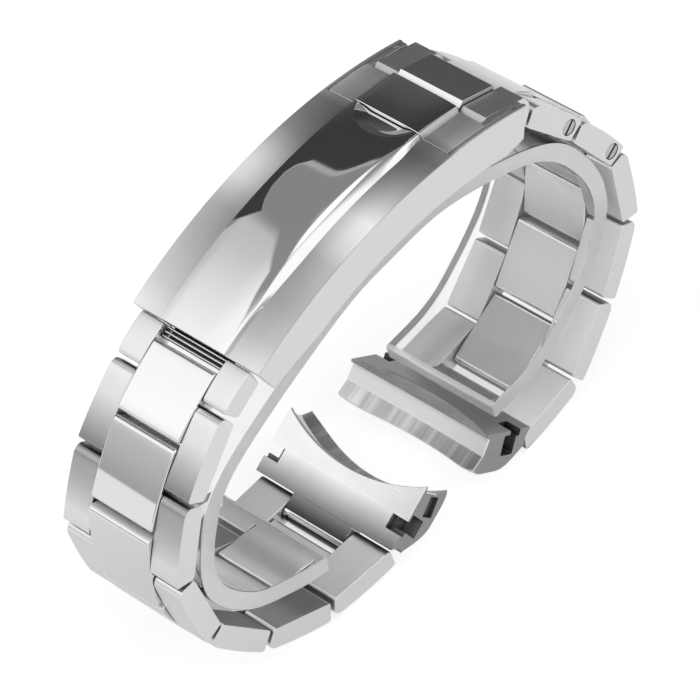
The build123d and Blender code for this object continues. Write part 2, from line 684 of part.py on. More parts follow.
def latch_stud():
    """The stud on the lower blade that the cover snaps over."""
    low = -LOWER_BLADE_DEPTH + BLADE_THICKNESS / 2
    stud = extrude(Circle(LATCH_RADIUS), amount=LATCH_HEIGHT)
    collar = Pos(0, 0, LATCH_HEIGHT / 2) * extrude(Circle(LATCH_RADIUS * 3 / 2), amount=LATCH_HEIGHT / 2)
    return Rot(-clasp_angle(LATCH_BACK), 0, 0) * Pos(0, 0, CLASP_RADIUS + low) * (stud + collar)


# Sliding adjuster

def teeth(front, rear, base, tip, half_width):
    """A row of square teeth across the clasp, between two places along it."""
    count = int((rear - front) / TOOTH_PITCH)
    row = []
    low, high = sorted((base, tip))
    for number in range(count):
        start = front + number * TOOTH_PITCH
        row.append(clasp_sweep(bar_section(half_width, low, high), start, start + TOOTH_PITCH / 2))
    return row


def glide_rack():
    """The toothed strip fixed in the roof of the cover's channel."""
    rear = COVER_LENGTH - TOOTH_PITCH
    front = rear - RACK_LENGTH
    floor = CHANNEL_ROOF - RACK_THICKNESS
    rack = clasp_sweep(bar_section(RACK_HALF_WIDTH, floor, CHANNEL_ROOF), front, rear)
    for tooth in teeth(front, rear, floor, floor - TOOTH_HEIGHT, RACK_HALF_WIDTH):
        rack += tooth
    return rack


def glide_carriage():
    """The sliding block with its teeth, a cross bar and the two ears that carry side A."""
    tooth_tip = CHANNEL_ROOF - RACK_THICKNESS - TOOTH_HEIGHT - GLIDE_CLEARANCE
    top = tooth_tip - TOOTH_HEIGHT
    low = top - CARRIAGE_THICKNESS + TOOTH_HEIGHT
    rear = COVER_LENGTH
    front = rear - CARRIAGE_LENGTH
    carriage = clasp_sweep(bar_section(CARRIAGE_HALF_WIDTH, low, top), front, rear + TOOTH_PITCH)
    for tooth in teeth(front, rear + TOOTH_PITCH, top, tooth_tip, RACK_HALF_WIDTH):
        carriage += tooth
    web_top = PLATE_FLOOR - GLIDE_CLEARANCE
    ear_half = HEAD_HALF_WIDTH
    root = rear - EAR_ROOT_LENGTH
    carriage += clasp_sweep(bar_section(ear_half, low, web_top), root, rear)
    y, z = on_clasp(ear_pin_back, -EAR_PIN_DEPTH)
    ear_start = ear_pin_back - rear
    outline = link_outline(ear_start, OUTER_REACH)
    where = place_on("a", (y, z), -180 - clasp_angle(ear_pin_back))
    ear = slab(outline, PLATE_INSIDE, ear_half)
    outside = ear.faces().sort_by(Axis.X)[-1]
    ear = chamfer(outside.edges(), EDGE_BREAK)
    ear += block(
        (PLATE_INSIDE, -ear_start - EAR_ROOT_LENGTH, -LINK_HALF + INNER_CORNER_RADIUS),
        (ear_half, -ear_start + INNER_SETBACK, 0),
    )
    ear -= rod(PIN_RADIUS, 0, LUG_WIDTH)
    for each in (ear, mirror(ear, about=Plane.YZ)):
        carriage += where * each
    return carriage


def glide_pin():
    """The pin through the ears that holds side A's first centre link."""
    y, z = on_clasp(ear_pin_back, -EAR_PIN_DEPTH)
    half = HEAD_HALF_WIDTH - PIN_RECESS
    return rod(PIN_RADIUS, -half, half, y, z)


# Clear former: a springy strip bent to the inside of the closed bracelet

def inward(side, point, heading, gap):
    """A point that far inside the inner face of the link at point."""
    offset = LINK_HALF + gap
    angle = math.radians(heading)
    sense = 1 if side == "a" else -1
    return point[0] - sense * offset * math.sin(angle), point[1] + sense * offset * math.cos(angle)


def former_route(extra):
    """The strip's outer face, from side A's tip over the clasp to side B's tip, moved in by extra."""
    route = [inward("a", pins_a[-2], headings_a[-2], FORMER_GAPS_A[-1] + extra)]
    for index in range(len(FORMER_GAPS_A), 0, -1):
        point = middle(pins_a[2 * index - 1], pins_a[2 * index])
        route.append(inward("a", point, headings_a[2 * index - 1], FORMER_GAPS_A[index - 1] + extra))
    roof = -WALL_HEIGHT - FORMER_ROOF_GAP - extra
    for back in (COVER_LENGTH * 3 / 4, COVER_LENGTH / 2, COVER_LENGTH / 4):
        route.append(on_clasp(back, roof))
    for index in range(1, len(FORMER_GAPS_B) + 1):
        point = middle(pins_b[2 * index - 1], pins_b[2 * index])
        route.append(inward("b", point, headings_b[2 * index - 1], FORMER_GAPS_B[index - 1] + extra))
    angle = math.radians(headings_b[-2])
    y, z = pins_b[-1]
    tip = (y + FORMER_TAIL_B * math.cos(angle), z + FORMER_TAIL_B * math.sin(angle))
    route.append(inward("b", tip, headings_b[-2], FORMER_TAIL_GAP + extra))
    return route


def clear_former():
    """The strip between its outer and inner faces, with square ends."""
    outer = Spline(*former_route(0.0))
    inner = Spline(*former_route(FORMER_THICKNESS))
    ends = Line(outer @ 0, inner @ 0) + Line(outer @ 1, inner @ 1)
    strip = make_face(outer + inner + ends)
    return slab(strip, -FORMER_WIDTH / 2, FORMER_WIDTH / 2)


# Assembly

def make_clasp():
    """Every piece of the clasp in its closed place."""
    cover_y, cover_z = on_clasp(COVER_HINGE_BACK, -UPPER_BLADE_DEPTH)
    fold_y, fold_z = on_clasp(FOLD_HINGE_BACK, -FOLD_HINGE_DEPTH)
    head = place_on("b", pins_b[0], -clasp_angle(head_pin_back))
    add("clasp_cover", [clasp_cover()])
    add("glide_rack", [glide_rack()])
    add("cover_hinge_pin", [rod(PIN_RADIUS, -SKIN_INSIDE, SKIN_INSIDE, cover_y, cover_z)])
    add("flip_lock_pins", lock_pins())
    add("flip_lock", [flip_lock()])
    add("upper_blade", [upper_blade()])
    add("fold_hinge_pin", [rod(PIN_RADIUS, -BLADE_HALF_WIDTH, BLADE_HALF_WIDTH, fold_y, fold_z)])
    add("lower_blade", [lower_blade()])
    add("latch_stud", [latch_stud()])
    add("blade_end_plates", head_plates(), head)
    add("blade_end_block", [head_block()])
    add("blade_end_screw", [head_pin()], head)
    add("glide_carriage", [glide_carriage()])
    add("glide_pin", [glide_pin()])


make_clasp()
make_side("a", pins_a, headings_a)
make_side("b", pins_b, headings_b)
make_end("a", pins_a, headings_a)
make_end("b", pins_b, headings_b)
add("clear_former", [clear_former()])

# The origin goes to the middle of the whole object's underside
whole = Compound(children=[solid for solids in nodes.values() for solid in solids]).bounding_box()
home = Location((0, -(whole.min.Y + whole.max.Y) / 2, -whole.min.Z))

for name, solids in nodes.items():
    export_step(Compound(children=[home * solid for solid in solids]), f"parts/{name}.step")
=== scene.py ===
import json
import math

import bmesh
import bpy
from mathutils import Matrix, Vector


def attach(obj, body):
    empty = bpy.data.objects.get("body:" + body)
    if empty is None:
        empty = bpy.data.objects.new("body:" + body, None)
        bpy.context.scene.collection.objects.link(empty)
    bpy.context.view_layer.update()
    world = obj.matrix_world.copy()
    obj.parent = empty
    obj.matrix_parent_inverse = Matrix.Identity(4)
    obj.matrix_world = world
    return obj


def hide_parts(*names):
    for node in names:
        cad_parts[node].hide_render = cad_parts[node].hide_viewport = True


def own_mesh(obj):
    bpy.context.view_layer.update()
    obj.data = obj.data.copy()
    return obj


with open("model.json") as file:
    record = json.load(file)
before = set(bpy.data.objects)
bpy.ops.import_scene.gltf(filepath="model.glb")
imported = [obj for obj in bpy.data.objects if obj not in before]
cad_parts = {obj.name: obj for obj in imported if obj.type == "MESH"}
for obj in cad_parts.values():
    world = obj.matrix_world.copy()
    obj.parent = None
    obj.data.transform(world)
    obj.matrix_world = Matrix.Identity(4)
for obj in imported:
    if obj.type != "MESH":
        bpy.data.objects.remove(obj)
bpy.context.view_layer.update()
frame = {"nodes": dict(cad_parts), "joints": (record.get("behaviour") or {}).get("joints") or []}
joints = {joint["name"]: joint for joint in frame["joints"]}

MM = 0.001
SIDES = ("a", "b")
LINKS = range(1, 7)
# On each side the outer pairs up to this one have a screw
SCREWED = 2

# Sizes shared with the solids, in millimetres
HALF = 2.75 / 2
LENGTH = 9.48
CENTRE_HALF = 4.35
PLATE_INSIDE = 4.41
CLASP_RADIUS = 59.3
CREST = 14.7
COVER_LENGTH = 43.3
COVER_HALF = 8.9
SEAM = 11.8
HEAD_HALF = 7.6
WIDTH_STEP = 3.7 / 6
LUG_HALF = 10.0
LOCK_HALF = 8.35
LOCK_PIN = (1.45, -1.35)
WALL = 1.0
WALL_LOW = -5.1
WALL_RISE = 7.5
NOSE_RISE = 2.6
STRIP_HALF = 7.8
STRIP_THICK = 2.2
OUTER_PIN = 3.05
CENTRE_PIN = 1.75
PIN_RADIUS = 0.5
HEAD_RADIUS = 0.92
SEAT_RADIUS = 0.98
SEAT_DEPTH = 0.72
BAR_HOLE = 0.62
# Past the widest piece, for the outer ends of the cutters
BEYOND = 12
# Steps in a rounded corner
ROUNDING = 6

# Scales of the noise in brushed steel, its stretch along the lines, and the depth of the lines in metres
FINE_LINES = 5200.0
BROAD_LINES = 1300.0
CLOUDS = 260.0
LINE_STRETCH = 0.02
STRIPE_STRETCH = 0.05
LINE_DEPTH = 0.000004
# How far from another surface the painted shade in a crevice reaches, in millimetres
CREVICE = 0.9

# Edge of the leaning part of the strip's far side: how far it is from LEAN_START to LEAN_STOP behind the
# nose, and its distance from the strip's middle as a share of LEAN_WIDTH
LEAN_START = 20.0
LEAN_STOP = 30.0
LEAN_WIDTH = 5.0
LEAN_LINE = (
    (0.0, 0.40), (0.10, 0.46), (0.225, 0.63), (0.35, 0.70), (0.56, 0.676), (0.735, 0.566), (0.85, 0.436),
    (0.92, 0.3),
)
# Painted light and shade of the clasp's near and far bands along it, from its nose to side A, as a share of
# full
NEAR_BAND_LIGHT = (
    (0.0, 0.80), (0.12, 0.92), (0.24, 0.90), (0.27, 0.52), (0.32, 0.36), (0.37, 0.43), (0.46, 0.63),
    (0.51, 0.79), (0.55, 0.95), (0.60, 0.86), (0.65, 0.73), (0.69, 0.57), (0.83, 0.52), (0.92, 0.585),
    (1.0, 0.80),
)
FAR_BAND_LIGHT = (
    (0.0, 0.90), (0.20, 1.0), (0.26, 0.78), (0.30, 0.40), (0.37, 0.37), (0.42, 0.41), (0.46, 0.53),
    (0.51, 0.71), (0.55, 0.78), (0.60, 0.76), (0.65, 0.59), (0.69, 0.49), (0.74, 0.53), (0.83, 0.62),
    (0.92, 0.70), (1.0, 0.88),
)

# Brightness of the room by direction. LAMP, SCREEN and BACK_WALL give it towards the far side, and HORIZON
# above the horizon. The screen starts above its sloping edge and goes on to the wall.
LAMP = ((0.05, 1.0), (0.20, 0.93), (0.30, 0.76), (0.40, 0.56), (0.47, 0.49))
SCREEN = (
    (0.02, 1.0), (0.14, 0.5), (0.24, 0.27), (0.50, 0.235), (0.617, 0.235), (0.625, 0.38), (0.634, 0.38),
)
BACK_WALL = ((0.64, 0.043), (0.74, 0.042), (0.80, 0.055), (0.89, 0.127), (1.0, 0.18))
SCREEN_EDGE = 0.987
SCREEN_SLOPE = 0.34
SCREEN_TURN = 0.315
SCREEN_LAST = 0.50
BACK_WALL_EDGE = 0.636
SOFT_EDGE = 0.003
HORIZON = ((0.05, 0.34), (0.15, 0.44), (0.28, 0.54), (0.42, 0.82), (0.56, 1.0))
SKY_LEVEL = 1.1
# A small lamp overhead, which the clasp's brushed bands catch, by its direction
SPOT = (-0.267, 0.202, 0.944)
SPOT_LEVEL = 1.3
# Brightness of the table in the steel: in full, under the bracelet with a painted shadow, and far off with
# painted dimming; and as the camera sees it
TABLE_LEVEL = 0.85
TABLE_UNDER = 0.66
TABLE_FAR_OFF = 0.42
TABLE_SEEN = 0.72
TABLE_GREY = 0.45
TABLE_HALF = 3000
TABLE_TOP = -0.02

# The centre of the clasp's arch, which the adjuster slides about
centre = Vector(joints["adjuster_glide"]["pos_m"])
arch = Matrix.Translation(centre)


# Materials

class Nodes:
    """A short way to add shader nodes and join them."""

    def __init__(self, tree):
        self.tree = tree

    def add(self, kind, **settings):
        node = self.tree.nodes.new(kind)
        for name, value in settings.items():
            setattr(node, name, value)
        return node

    def put(self, socket, value):
        if isinstance(value, bpy.types.NodeSocket):
            self.tree.links.new(value, socket)
        else:
            socket.default_value = value

    def math(self, operation, a, b=0.0, c=0.0):
        node = self.add("ShaderNodeMath", operation=operation)
        for socket, value in zip(node.inputs, (a, b, c)):
            self.put(socket, value)
        return node.outputs[0]

    def times(self, a, b):
        return self.math("MULTIPLY", a, b)

    def plus(self, a, b):
        return self.math("ADD", a, b)

    def place(self):
        """Where a point is on its piece, in metres."""
        return self.add("ShaderNodeTexCoord").outputs["Object"]

    def vector(self, x, y, z):
        node = self.add("ShaderNodeCombineXYZ")
        for socket, value in zip(node.inputs, (x, y, z)):
            self.put(socket, value)
        return node.outputs[0]

    def split(self, vector):
        node = self.add("ShaderNodeSeparateXYZ")
        self.put(node.inputs[0], vector)
        return node.outputs

    def noise(self, vector, scale, detail=2.0, rough=0.5):
        """Noise between 0 and 1; the scale is in waves per metre."""
        node = self.add("ShaderNodeTexNoise")
        self.put(node.inputs["Vector"], vector)
        node.inputs["Scale"].default_value = scale
        node.inputs["Detail"].default_value = detail
        node.inputs["Roughness"].default_value = rough
        return node.outputs[0]

    def spread(self, value, low, high, to_low, to_high):
        """The value taken from one range to another, and held at the ends of it."""
        node = self.add("ShaderNodeMapRange")
        for socket, item in zip(node.inputs, (value, low, high, to_low, to_high)):
            self.put(socket, item)
        return node.outputs[0]

    def ramp(self, value, stops):
        """A brightness that follows the stops, each a place and a level."""
        node = self.add("ShaderNodeValToRGB")
        ramp = node.color_ramp
        while len(ramp.elements) < len(stops):
            ramp.elements.new(0.5)
        for element, (place, level) in zip(ramp.elements, stops):
            element.position = place
            element.color = (level, level, level, 1)
        self.put(node.inputs[0], value)
        return node.outputs[0]

    def mix(self, share, a, b):
        node = self.add("ShaderNodeMix", data_type="RGBA")
        self.put(node.inputs["Factor"], share)
        self.put(node.inputs["A"], a)
        self.put(node.inputs["B"], b)
        return node.outputs["Result"]

    def crevice_shade(self, colour):
        """The colour, darker where another surface is close: painted shade in crevices and between parts.
        """
        node = self.add("ShaderNodeAmbientOcclusion", samples=6)
        node.inputs["Distance"].default_value = CREVICE * MM
        share = self.spread(node.outputs["AO"], 0.2, 0.8, 0.3, 1.0)
        return self.mix(share, grey(0.0), colour)

    def leaned(self, normal, lean):
        """The normal with a lean added, at unit length."""
        tilted = self.add("ShaderNodeVectorMath", operation="ADD")
        self.put(tilted.inputs[0], normal)
        self.put(tilted.inputs[1], lean)
        even = self.add("ShaderNodeVectorMath", operation="NORMALIZE")
        self.put(even.inputs[0], tilted.outputs[0])
        return even.outputs[0]

    def bump(self, height, distance):
        node = self.add("ShaderNodeBump")
        self.put(node.inputs["Height"], height)
        node.inputs["Distance"].default_value = distance
        node.inputs["Strength"].default_value = 0.5
        return node.outputs[0]


def material(name):
    """A new material, its node helper and its main shader."""
    made = bpy.data.materials.new(name)
    made.use_nodes = True
    shader = made.node_tree.nodes["Principled BSDF"]
    return made, Nodes(made.node_tree), shader


def grey(level):
    return (level, level, level * 1.004, 1)


def steel(name, level, rough, spread, grain, along="y", fineness=1.0, cloudy=0.3, painted_tone=None, metal=1.0):
    """Steel with fine lines along x or y of the piece, in stripes across it, or round the clasp's arch.

    The painted light and shade along the piece is a share of the brightness: its value at the piece's
    origin, and its gain per millimetre and per square millimetre along the piece. The arch has painted
    light and shade of its own.
    """
    made, n, shader = material(name)
    x, y, z = n.split(n.place())
    if along == "arch":
        turn = n.math("ARCTAN2", y, z)
        radius = n.math("SQRT", n.plus(n.times(y, y), n.times(z, z)))
        y, z = n.times(turn, CLASP_RADIUS * MM), radius
    share = None
    # Painted light and shade, lighter or darker along the piece
    if painted_tone:
        place = n.math("DIVIDE", y, MM)
        share = n.math("MULTIPLY_ADD", n.math("MULTIPLY_ADD", place, painted_tone[2], painted_tone[1]), place, painted_tone[0])
        share = n.math("MINIMUM", n.math("MAXIMUM", share, 0.07), 1.0)
    if along == "x":
        x, y = y, x
    high = STRIPE_STRETCH if along == "stripes" else 1.0
    stretched = n.vector(x, n.times(y, LINE_STRETCH), n.times(z, high))
    fine = n.noise(stretched, FINE_LINES * fineness, 2.0, 0.6)
    broad = n.noise(stretched, BROAD_LINES * fineness, 2.0, 0.5)
    cloud = n.noise(n.vector(x, y, z), CLOUDS, 2.0, 0.5)
    lines = n.plus(n.times(fine, 0.6), n.times(broad, 0.4))
    n.put(shader.inputs["Metallic"], metal)
    n.put(shader.inputs["Roughness"], n.spread(lines, 0.25, 0.75, rough - spread, rough + spread))
    blend = n.plus(n.times(lines, 1 - cloudy), n.times(cloud, cloudy))
    colour = n.mix(n.spread(blend, 0.3, 0.7, 0.0, 1.0), grey(level - grain), grey(level + grain))
    # The bands' painted light and shade along the arch, near and far
    if along == "arch":
        place = n.math("DIVIDE", n.math("MULTIPLY_ADD", turn, -CLASP_RADIUS, CREST), COVER_LENGTH)
        side = n.math("GREATER_THAN", x, 0.0)
        share = n.mix(side, n.ramp(place, FAR_BAND_LIGHT), n.ramp(place, NEAR_BAND_LIGHT))
    if share:
        colour = n.mix(share, grey(0.0), colour)
    # Painted shade where another surface is close
    n.put(shader.inputs["Base Color"], n.crevice_shade(colour))
    normal = n.bump(lines, LINE_DEPTH)
    if along == "arch":
        # The far band catches the overhead lamp as the near one does
        lean = n.times(n.split(normal)[0], n.times(n.math("LESS_THAN", x, 0.0), -2.0))
        normal = n.leaned(normal, n.vector(lean, 0.0, 0.0))
    n.put(shader.inputs["Normal"], normal)
    if along != "x":
        n.put(shader.inputs["Anisotropic"], 0.2 if along == "arch" else 0.9)
        n.put(shader.inputs["Tangent"], n.vector(1.0, 0.0, 0.0))
    return made


def polish(name):
    """Mirror-polished steel with the faint haze of handling."""
    made, n, shader = material(name)
    place = n.place()
    haze = n.noise(place, 350.0, 4.0, 0.6)
    swirl = n.noise(place, 4200.0, 2.0, 0.5)
    n.put(shader.inputs["Metallic"], 1.0)
    shade = n.mix(n.spread(haze, 0.35, 0.65, 0.0, 1.0), grey(0.868), grey(0.88))
    # Painted shade where another surface is close
    n.put(shader.inputs["Base Color"], n.crevice_shade(shade))
    n.put(shader.inputs["Roughness"], n.spread(swirl, 0.3, 0.7, 0.018, 0.048))
    return made


def strip_polish(name):
    """The polish of the clasp's strip, whose far side leans a little outward part of the way along."""
    made = polish(name)
    n = Nodes(made.node_tree)
    shader = made.node_tree.nodes["Principled BSDF"]
    x, y, z = n.split(n.place())
    x = n.math("DIVIDE", x, MM)
    back = n.math("MULTIPLY_ADD", n.math("ARCTAN2", y, z), -CLASP_RADIUS, CREST)
    line = n.ramp(n.spread(back, LEAN_START, LEAN_STOP, 0.0, 1.0), LEAN_LINE)
    line = n.times(line, -LEAN_WIDTH)
    inside = n.spread(n.math("SUBTRACT", line, x), -0.2, 0.25, 0.0, 1.0)
    # The leaning part ends on a slanting line
    last = n.math("MULTIPLY_ADD", x, -1.14, 26.0)
    before = n.spread(n.math("SUBTRACT", last, back), -0.1, 0.25, 0.0, 1.0)
    lean = n.times(n.spread(back, 20.5, 30.0, 0.01, 0.165), n.times(inside, before))
    flat = n.add("ShaderNodeNewGeometry").outputs["Normal"]
    n.put(shader.inputs["Normal"], n.leaned(flat, n.vector(n.times(lean, -1.0), 0.0, 0.0)))
    return made


def plastic(name, rough, level, through, ior):
    """Clear plastic with faint ripples; less of it goes through where it is frosted, as at its cut ends."""
    made, n, shader = material(name)
    place = n.place()
    ripple = n.noise(place, 160.0, 2.0, 0.5)
    shade = n.mix(n.spread(ripple, 0.35, 0.65, 0.0, 1.0), grey(level - 0.02), grey(level))
    n.put(shader.inputs["Base Color"], shade)
    n.put(shader.inputs["Roughness"], n.spread(n.noise(place, 900.0), 0.3, 0.7, rough * 0.7, rough * 1.3))
    n.put(shader.inputs["Transmission Weight"], through)
    n.put(shader.inputs["IOR"], ior)
    n.put(shader.inputs["Normal"], n.bump(ripple, 0.00002))
    return made


def brushed_link(name, *painted_tone):
    return steel(name, 0.93, 0.33, 0.05, 0.025, painted_tone=painted_tone)


# The brushed links carry painted light and shade along their length, strongest on a1 and a2
brushed = brushed_link("brushed_link", 1.0, -0.012, 0.0)
brushed_a1 = brushed_link("brushed_link_a1", 0.90, -0.105, 0.0)
brushed_a2 = brushed_link("brushed_link_a2", 0.68, 0.09, 0.012)
band = steel("brushed_band", 0.97, 0.36, 0.05, 0.03, along="arch")
side_steel = steel("satin_side", 0.91, 0.34, 0.04, 0.01)
inside_steel = steel("satin_inside", 0.97, 0.48, 0.06, 0.03)
# Darker copy of the inside steel: painted shade on the insides of outer links a4 and a5
inside_shaded = steel("satin_inside_shaded", 0.38, 0.48, 0.06, 0.05)
satin = steel("satin_end", 0.62, 0.36, 0.05, 0.03)
end_side = steel("satin_end_side", 0.40, 0.36, 0.05, 0.03)
# End link A is painted darker towards its pin, and end link B darker all over: painted shade
end_steel = {
    "a": steel("brushed_end_a", 0.92, 0.30, 0.06, 0.06, along="x", cloudy=0.55, painted_tone=(0.04, 0.09, 0.015)),
    "b": steel("brushed_end_b", 0.46, 0.40, 0.06, 0.04, along="x"),
}
# Turned lines on the rim, on a darker base that is painted shade
rim_steel = steel("turned_rim", 0.42, 0.36, 0.08, 0.12, along="x")
# Light and dark stripes across the lip: painted reflections of a polished lip
lip_steel = steel("striped_lip", 0.56, 0.34, 0.06, 0.30, along="stripes", fineness=0.22, cloudy=0.1)
# Half-dark copy of the inside steel: painted shade on the inside of centre link b6
inside_half_shaded = steel("satin_inside_half_shaded", 0.72, 0.48, 0.06, 0.04)
# Mostly diffuse near-white steel: a painted highlight on faces that mirror a lamp
front_highlight = steel("bright_front", 0.98, 0.60, 0.05, 0.015, along="x", metal=0.25)
# Nearly black: painted shade in holes, slots, pockets, the end link's groove, the links' rear ends and the
# carriage's recess
shade_steel = steel("painted_shade", 0.16, 0.45, 0.08, 0.06)
mirror = polish("polished")
strip_mirror = strip_polish("polished_strip")
pin_steel = steel("turned_pin", 0.62, 0.28, 0.06, 0.03, along="x")
blade_steel = steel("polished_blade", 0.76, 0.16, 0.04, 0.02)
clear = plastic("clear_strip", 0.03, 0.94, 1.0, 1.46)
frosted = plastic("frosted_edge", 0.45, 0.92, 0.35, 1.3)


# Mesh helpers

def fillet(points, radii):
    """A closed outline with its corners rounded by the given radii."""
    rounded = []
    count = len(points)
    for i, point in enumerate(points):
        here = Vector(point)
        to_last = Vector(points[i - 1]) - here
        to_next = Vector(points[(i + 1) % count]) - here
        radius = radii[i]
        if not radius:
            rounded.append(tuple(here))
            continue
        half = to_last.angle(to_next) / 2
        reach = min(radius / math.tan(half), to_last.length * 0.49, to_next.length * 0.49)
        radius = reach * math.tan(half)
        back, ahead = to_last.normalized(), to_next.normalized()
        middle = here + (back + ahead).normalized() * (radius / math.sin(half))
        start = here + back * reach - middle
        end = here + ahead * reach - middle
        turn = math.atan2(start.x * end.y - start.y * end.x, start.dot(end))
        for step in range(ROUNDING + 1):
            cos, sin = math.cos(turn * step / ROUNDING), math.sin(turn * step / ROUNDING)
            x = middle.x + start.x * cos - start.y * sin
            y = middle.y + start.x * sin + start.y * cos
            rounded.append((x, y))
    return rounded


def settle(obj):
    """Make what the modifiers give the object's own mesh."""
    graph = bpy.context.evaluated_depsgraph_get()
    shown = obj.evaluated_get(graph)
    final = bpy.data.meshes.new_from_object(shown, preserve_all_data_layers=True, depsgraph=graph)
    obj.modifiers.clear()
    obj.data = final


def finish(obj, bevel, segments=3, angle=40, miter="MITER_ARC"):
    """Round the sharp edges, smooth the shading and make the mesh final."""
    edge = obj.modifiers.new("bevel", "BEVEL")
    edge.width = bevel * MM
    edge.segments = segments
    edge.limit_method = "ANGLE"
    edge.angle_limit = math.radians(angle)
    edge.miter_outer = miter
    obj.data.polygons.foreach_set("use_smooth", [True] * len(obj.data.polygons))
    even = obj.modifiers.new("normals", "WEIGHTED_NORMAL")
    even.keep_sharp = True
    even.weight = 80
    settle(obj)


def make(name, parts, materials, where=Matrix.Identity(4)):
    """An object from lists of vertices in millimetres, and of faces with material numbers."""
    shape = bmesh.new()
    for vertices, faces in parts:
        made = [shape.verts.new(Vector(v) * MM) for v in vertices]
        for corners, number in faces:
            face = shape.faces.new([made[c] for c in corners])
            face.material_index = number
    bmesh.ops.recalc_face_normals(shape, faces=shape.faces)
    mesh = bpy.data.meshes.new(name)
    shape.to_mesh(mesh)
    shape.free()
    obj = bpy.data.objects.new(name, mesh)
    for each in materials:
        obj.data.materials.append(each)
    bpy.context.collection.objects.link(obj)
    obj.matrix_world = where
    return obj


def prism(outline, low, high, side_slots=None, cap_slot=0):
    """A closed outline in (y, z) given width from x = low to x = high; each may depend on the point."""
    count = len(outline)
    low_at = low if callable(low) else lambda y, z: low
    high_at = high if callable(high) else lambda y, z: high
    vertices = [(low_at(y, z), y, z) for y, z in outline] + [(high_at(y, z), y, z) for y, z in outline]
    faces = []
    for i in range(count):
        j = (i + 1) % count
        number = side_slots(i) if side_slots else 0
        faces.append(((i, j, count + j, count + i), number))
    faces.append((tuple(range(count)), cap_slot))
    faces.append((tuple(range(count, 2 * count)), cap_slot))
    return vertices, faces


def arc(radius, turns, y=0.0, z=0.0):
    return [(y + radius * math.cos(turn), z + radius * math.sin(turn)) for turn in turns]


def cylinder(radius, low, high, y=0.0, z=0.0, count=32):
    return prism(arc(radius, [2 * math.pi * i / count for i in range(count)], y, z), low, high)


def cut(obj, *cutters):
    """Take the cutters away from an object."""
    for cutter in cutters:
        step = obj.modifiers.new("cut", "BOOLEAN")
        step.operation = "DIFFERENCE"
        step.solver = "MANIFOLD"
        step.material_mode = "TRANSFER"
        step.object = cutter
    settle(obj)
    for cutter in cutters:
        bpy.data.objects.remove(cutter)


def sharp(obj, angle=32):
    """Smooth shading, broken at edges sharper than the angle and where the finish changes."""
    obj.data.polygons.foreach_set("use_smooth", [True] * len(obj.data.polygons))
    obj.data.set_sharp_from_angle(angle=math.radians(angle))
    shape = bmesh.new()
    shape.from_mesh(obj.data)
    for edge in shape.edges:
        if len({face.material_index for face in edge.link_faces}) > 1:
            edge.smooth = False
    shape.to_mesh(obj.data)
    shape.free()


def rings(loops, slots, cap_slot=0):
    """A closed mesh through loops of points that match one for one; slots gives each strip's material."""
    count = len(loops[0])
    vertices = [point for loop in loops for point in loop]
    faces = []
    for k in range(len(loops) - 1):
        for i in range(count):
            a, b = k * count + i, k * count + (i + 1) % count
            faces.append(((a, b, b + count, a + count), slots[i]))
    faces.append((tuple(range(count)), cap_slot))
    faces.append((tuple(range(len(vertices) - count, len(vertices))), cap_slot))
    return vertices, faces


def revolved(line, count=64):
    """A closed mesh from a line of (radius, height) turned about the axis that it starts and ends on."""
    vertices = []
    for a in [2 * math.pi * k / count for k in range(count)]:
        vertices += [(r * math.cos(a), r * math.sin(a), h) for r, h in line[1:-1]]
    low, high = len(vertices), len(vertices) + 1
    vertices += [(0, 0, line[0][1]), (0, 0, line[-1][1])]
    inner = len(line) - 2
    faces = []
    for k in range(count):
        a, b = k * inner, (k + 1) % count * inner
        for i in range(inner - 1):
            faces.append(((a + i, b + i, b + i + 1, a + i + 1), 0))
        faces.append(((a, b, low), 0))
        faces.append(((a + inner - 1, b + inner - 1, high), 0))
    return vertices, faces


def inset(points, reach):
    """A closed outline moved inward all round."""
    area = sum(a[0] * b[1] - b[0] * a[1] for a, b in zip(points, points[1:] + points[:1]))
    sense = 1 if area > 0 else -1
    moved = []
    for i, point in enumerate(points):
        here = Vector(point)
        first = (here - Vector(points[i - 1])).normalized()
        last = (Vector(points[(i + 1) % len(points)]) - here).normalized()
        inward = Vector((-(first.y + last.y), first.x + last.x)) * sense
        share = max(0.35, 1 + first.dot(last))
        moved.append(tuple(here + inward * (reach / share)))
    return moved


# Where the links are, from the joints of the solids

def pin(name):
    return Vector(joints[name]["pos_m"])


def pin_chain(side):
    """The pins of one side from the clasp to its end link."""
    names = []
    for i in LINKS:
        names += [f"side_{side}_centre_{i}_hinge", f"side_{side}_outer_{i}_hinge"]
    return [pin(name) for name in names + [f"end_link_{side}_hinge"]]


def heading(angle):
    return Vector((0, math.cos(angle), math.sin(angle)))


def link_frame(side, origin, direction):
    """Local axes of a piece: X across, Y along the bracelet away from the clasp, Z outward."""
    along = direction.normalized()
    across = Vector((-1, 0, 0)) if side == "a" else Vector((1, 0, 0))
    outward = across.cross(along)
    return Matrix.Translation(origin) @ Matrix((across, along, outward)).transposed().to_4x4()


def link_outline(front, rear, dome, lead=0.8, trail=0.3):
    """Side outline of a link: flat inside, slightly domed outside, rounded at both ends."""
    shoulder = HALF - 0.22 + dome
    crown = HALF + dome
    middle = (rear - front) / 2
    span = (rear + front) / 2

    def domed(y):
        return shoulder + (crown - shoulder) * (1 - ((y - middle) / span) ** 2)

    # The corners are rounded on a flat outline, and then its outer side is domed
    corners = [(-front + 0.45, -HALF), (rear - 0.45, -HALF), (rear, shoulder), (-front, shoulder)]
    line = fillet(corners, [0.42, 0.42, trail, lead])
    line = [(y, domed(y) if z > shoulder - 1e-6 else z) for y, z in line]
    filled = []
    for i, point in enumerate(line):
        filled.append(point)
        following = line[(i + 1) % len(line)]
        if point[1] > shoulder and following[1] > shoulder and abs(point[0] - following[0]) > 1:
            for k in range(1, 10):
                y = point[0] + (following[0] - point[0]) * k / 10
                filled.append((y, domed(y)))
    return filled


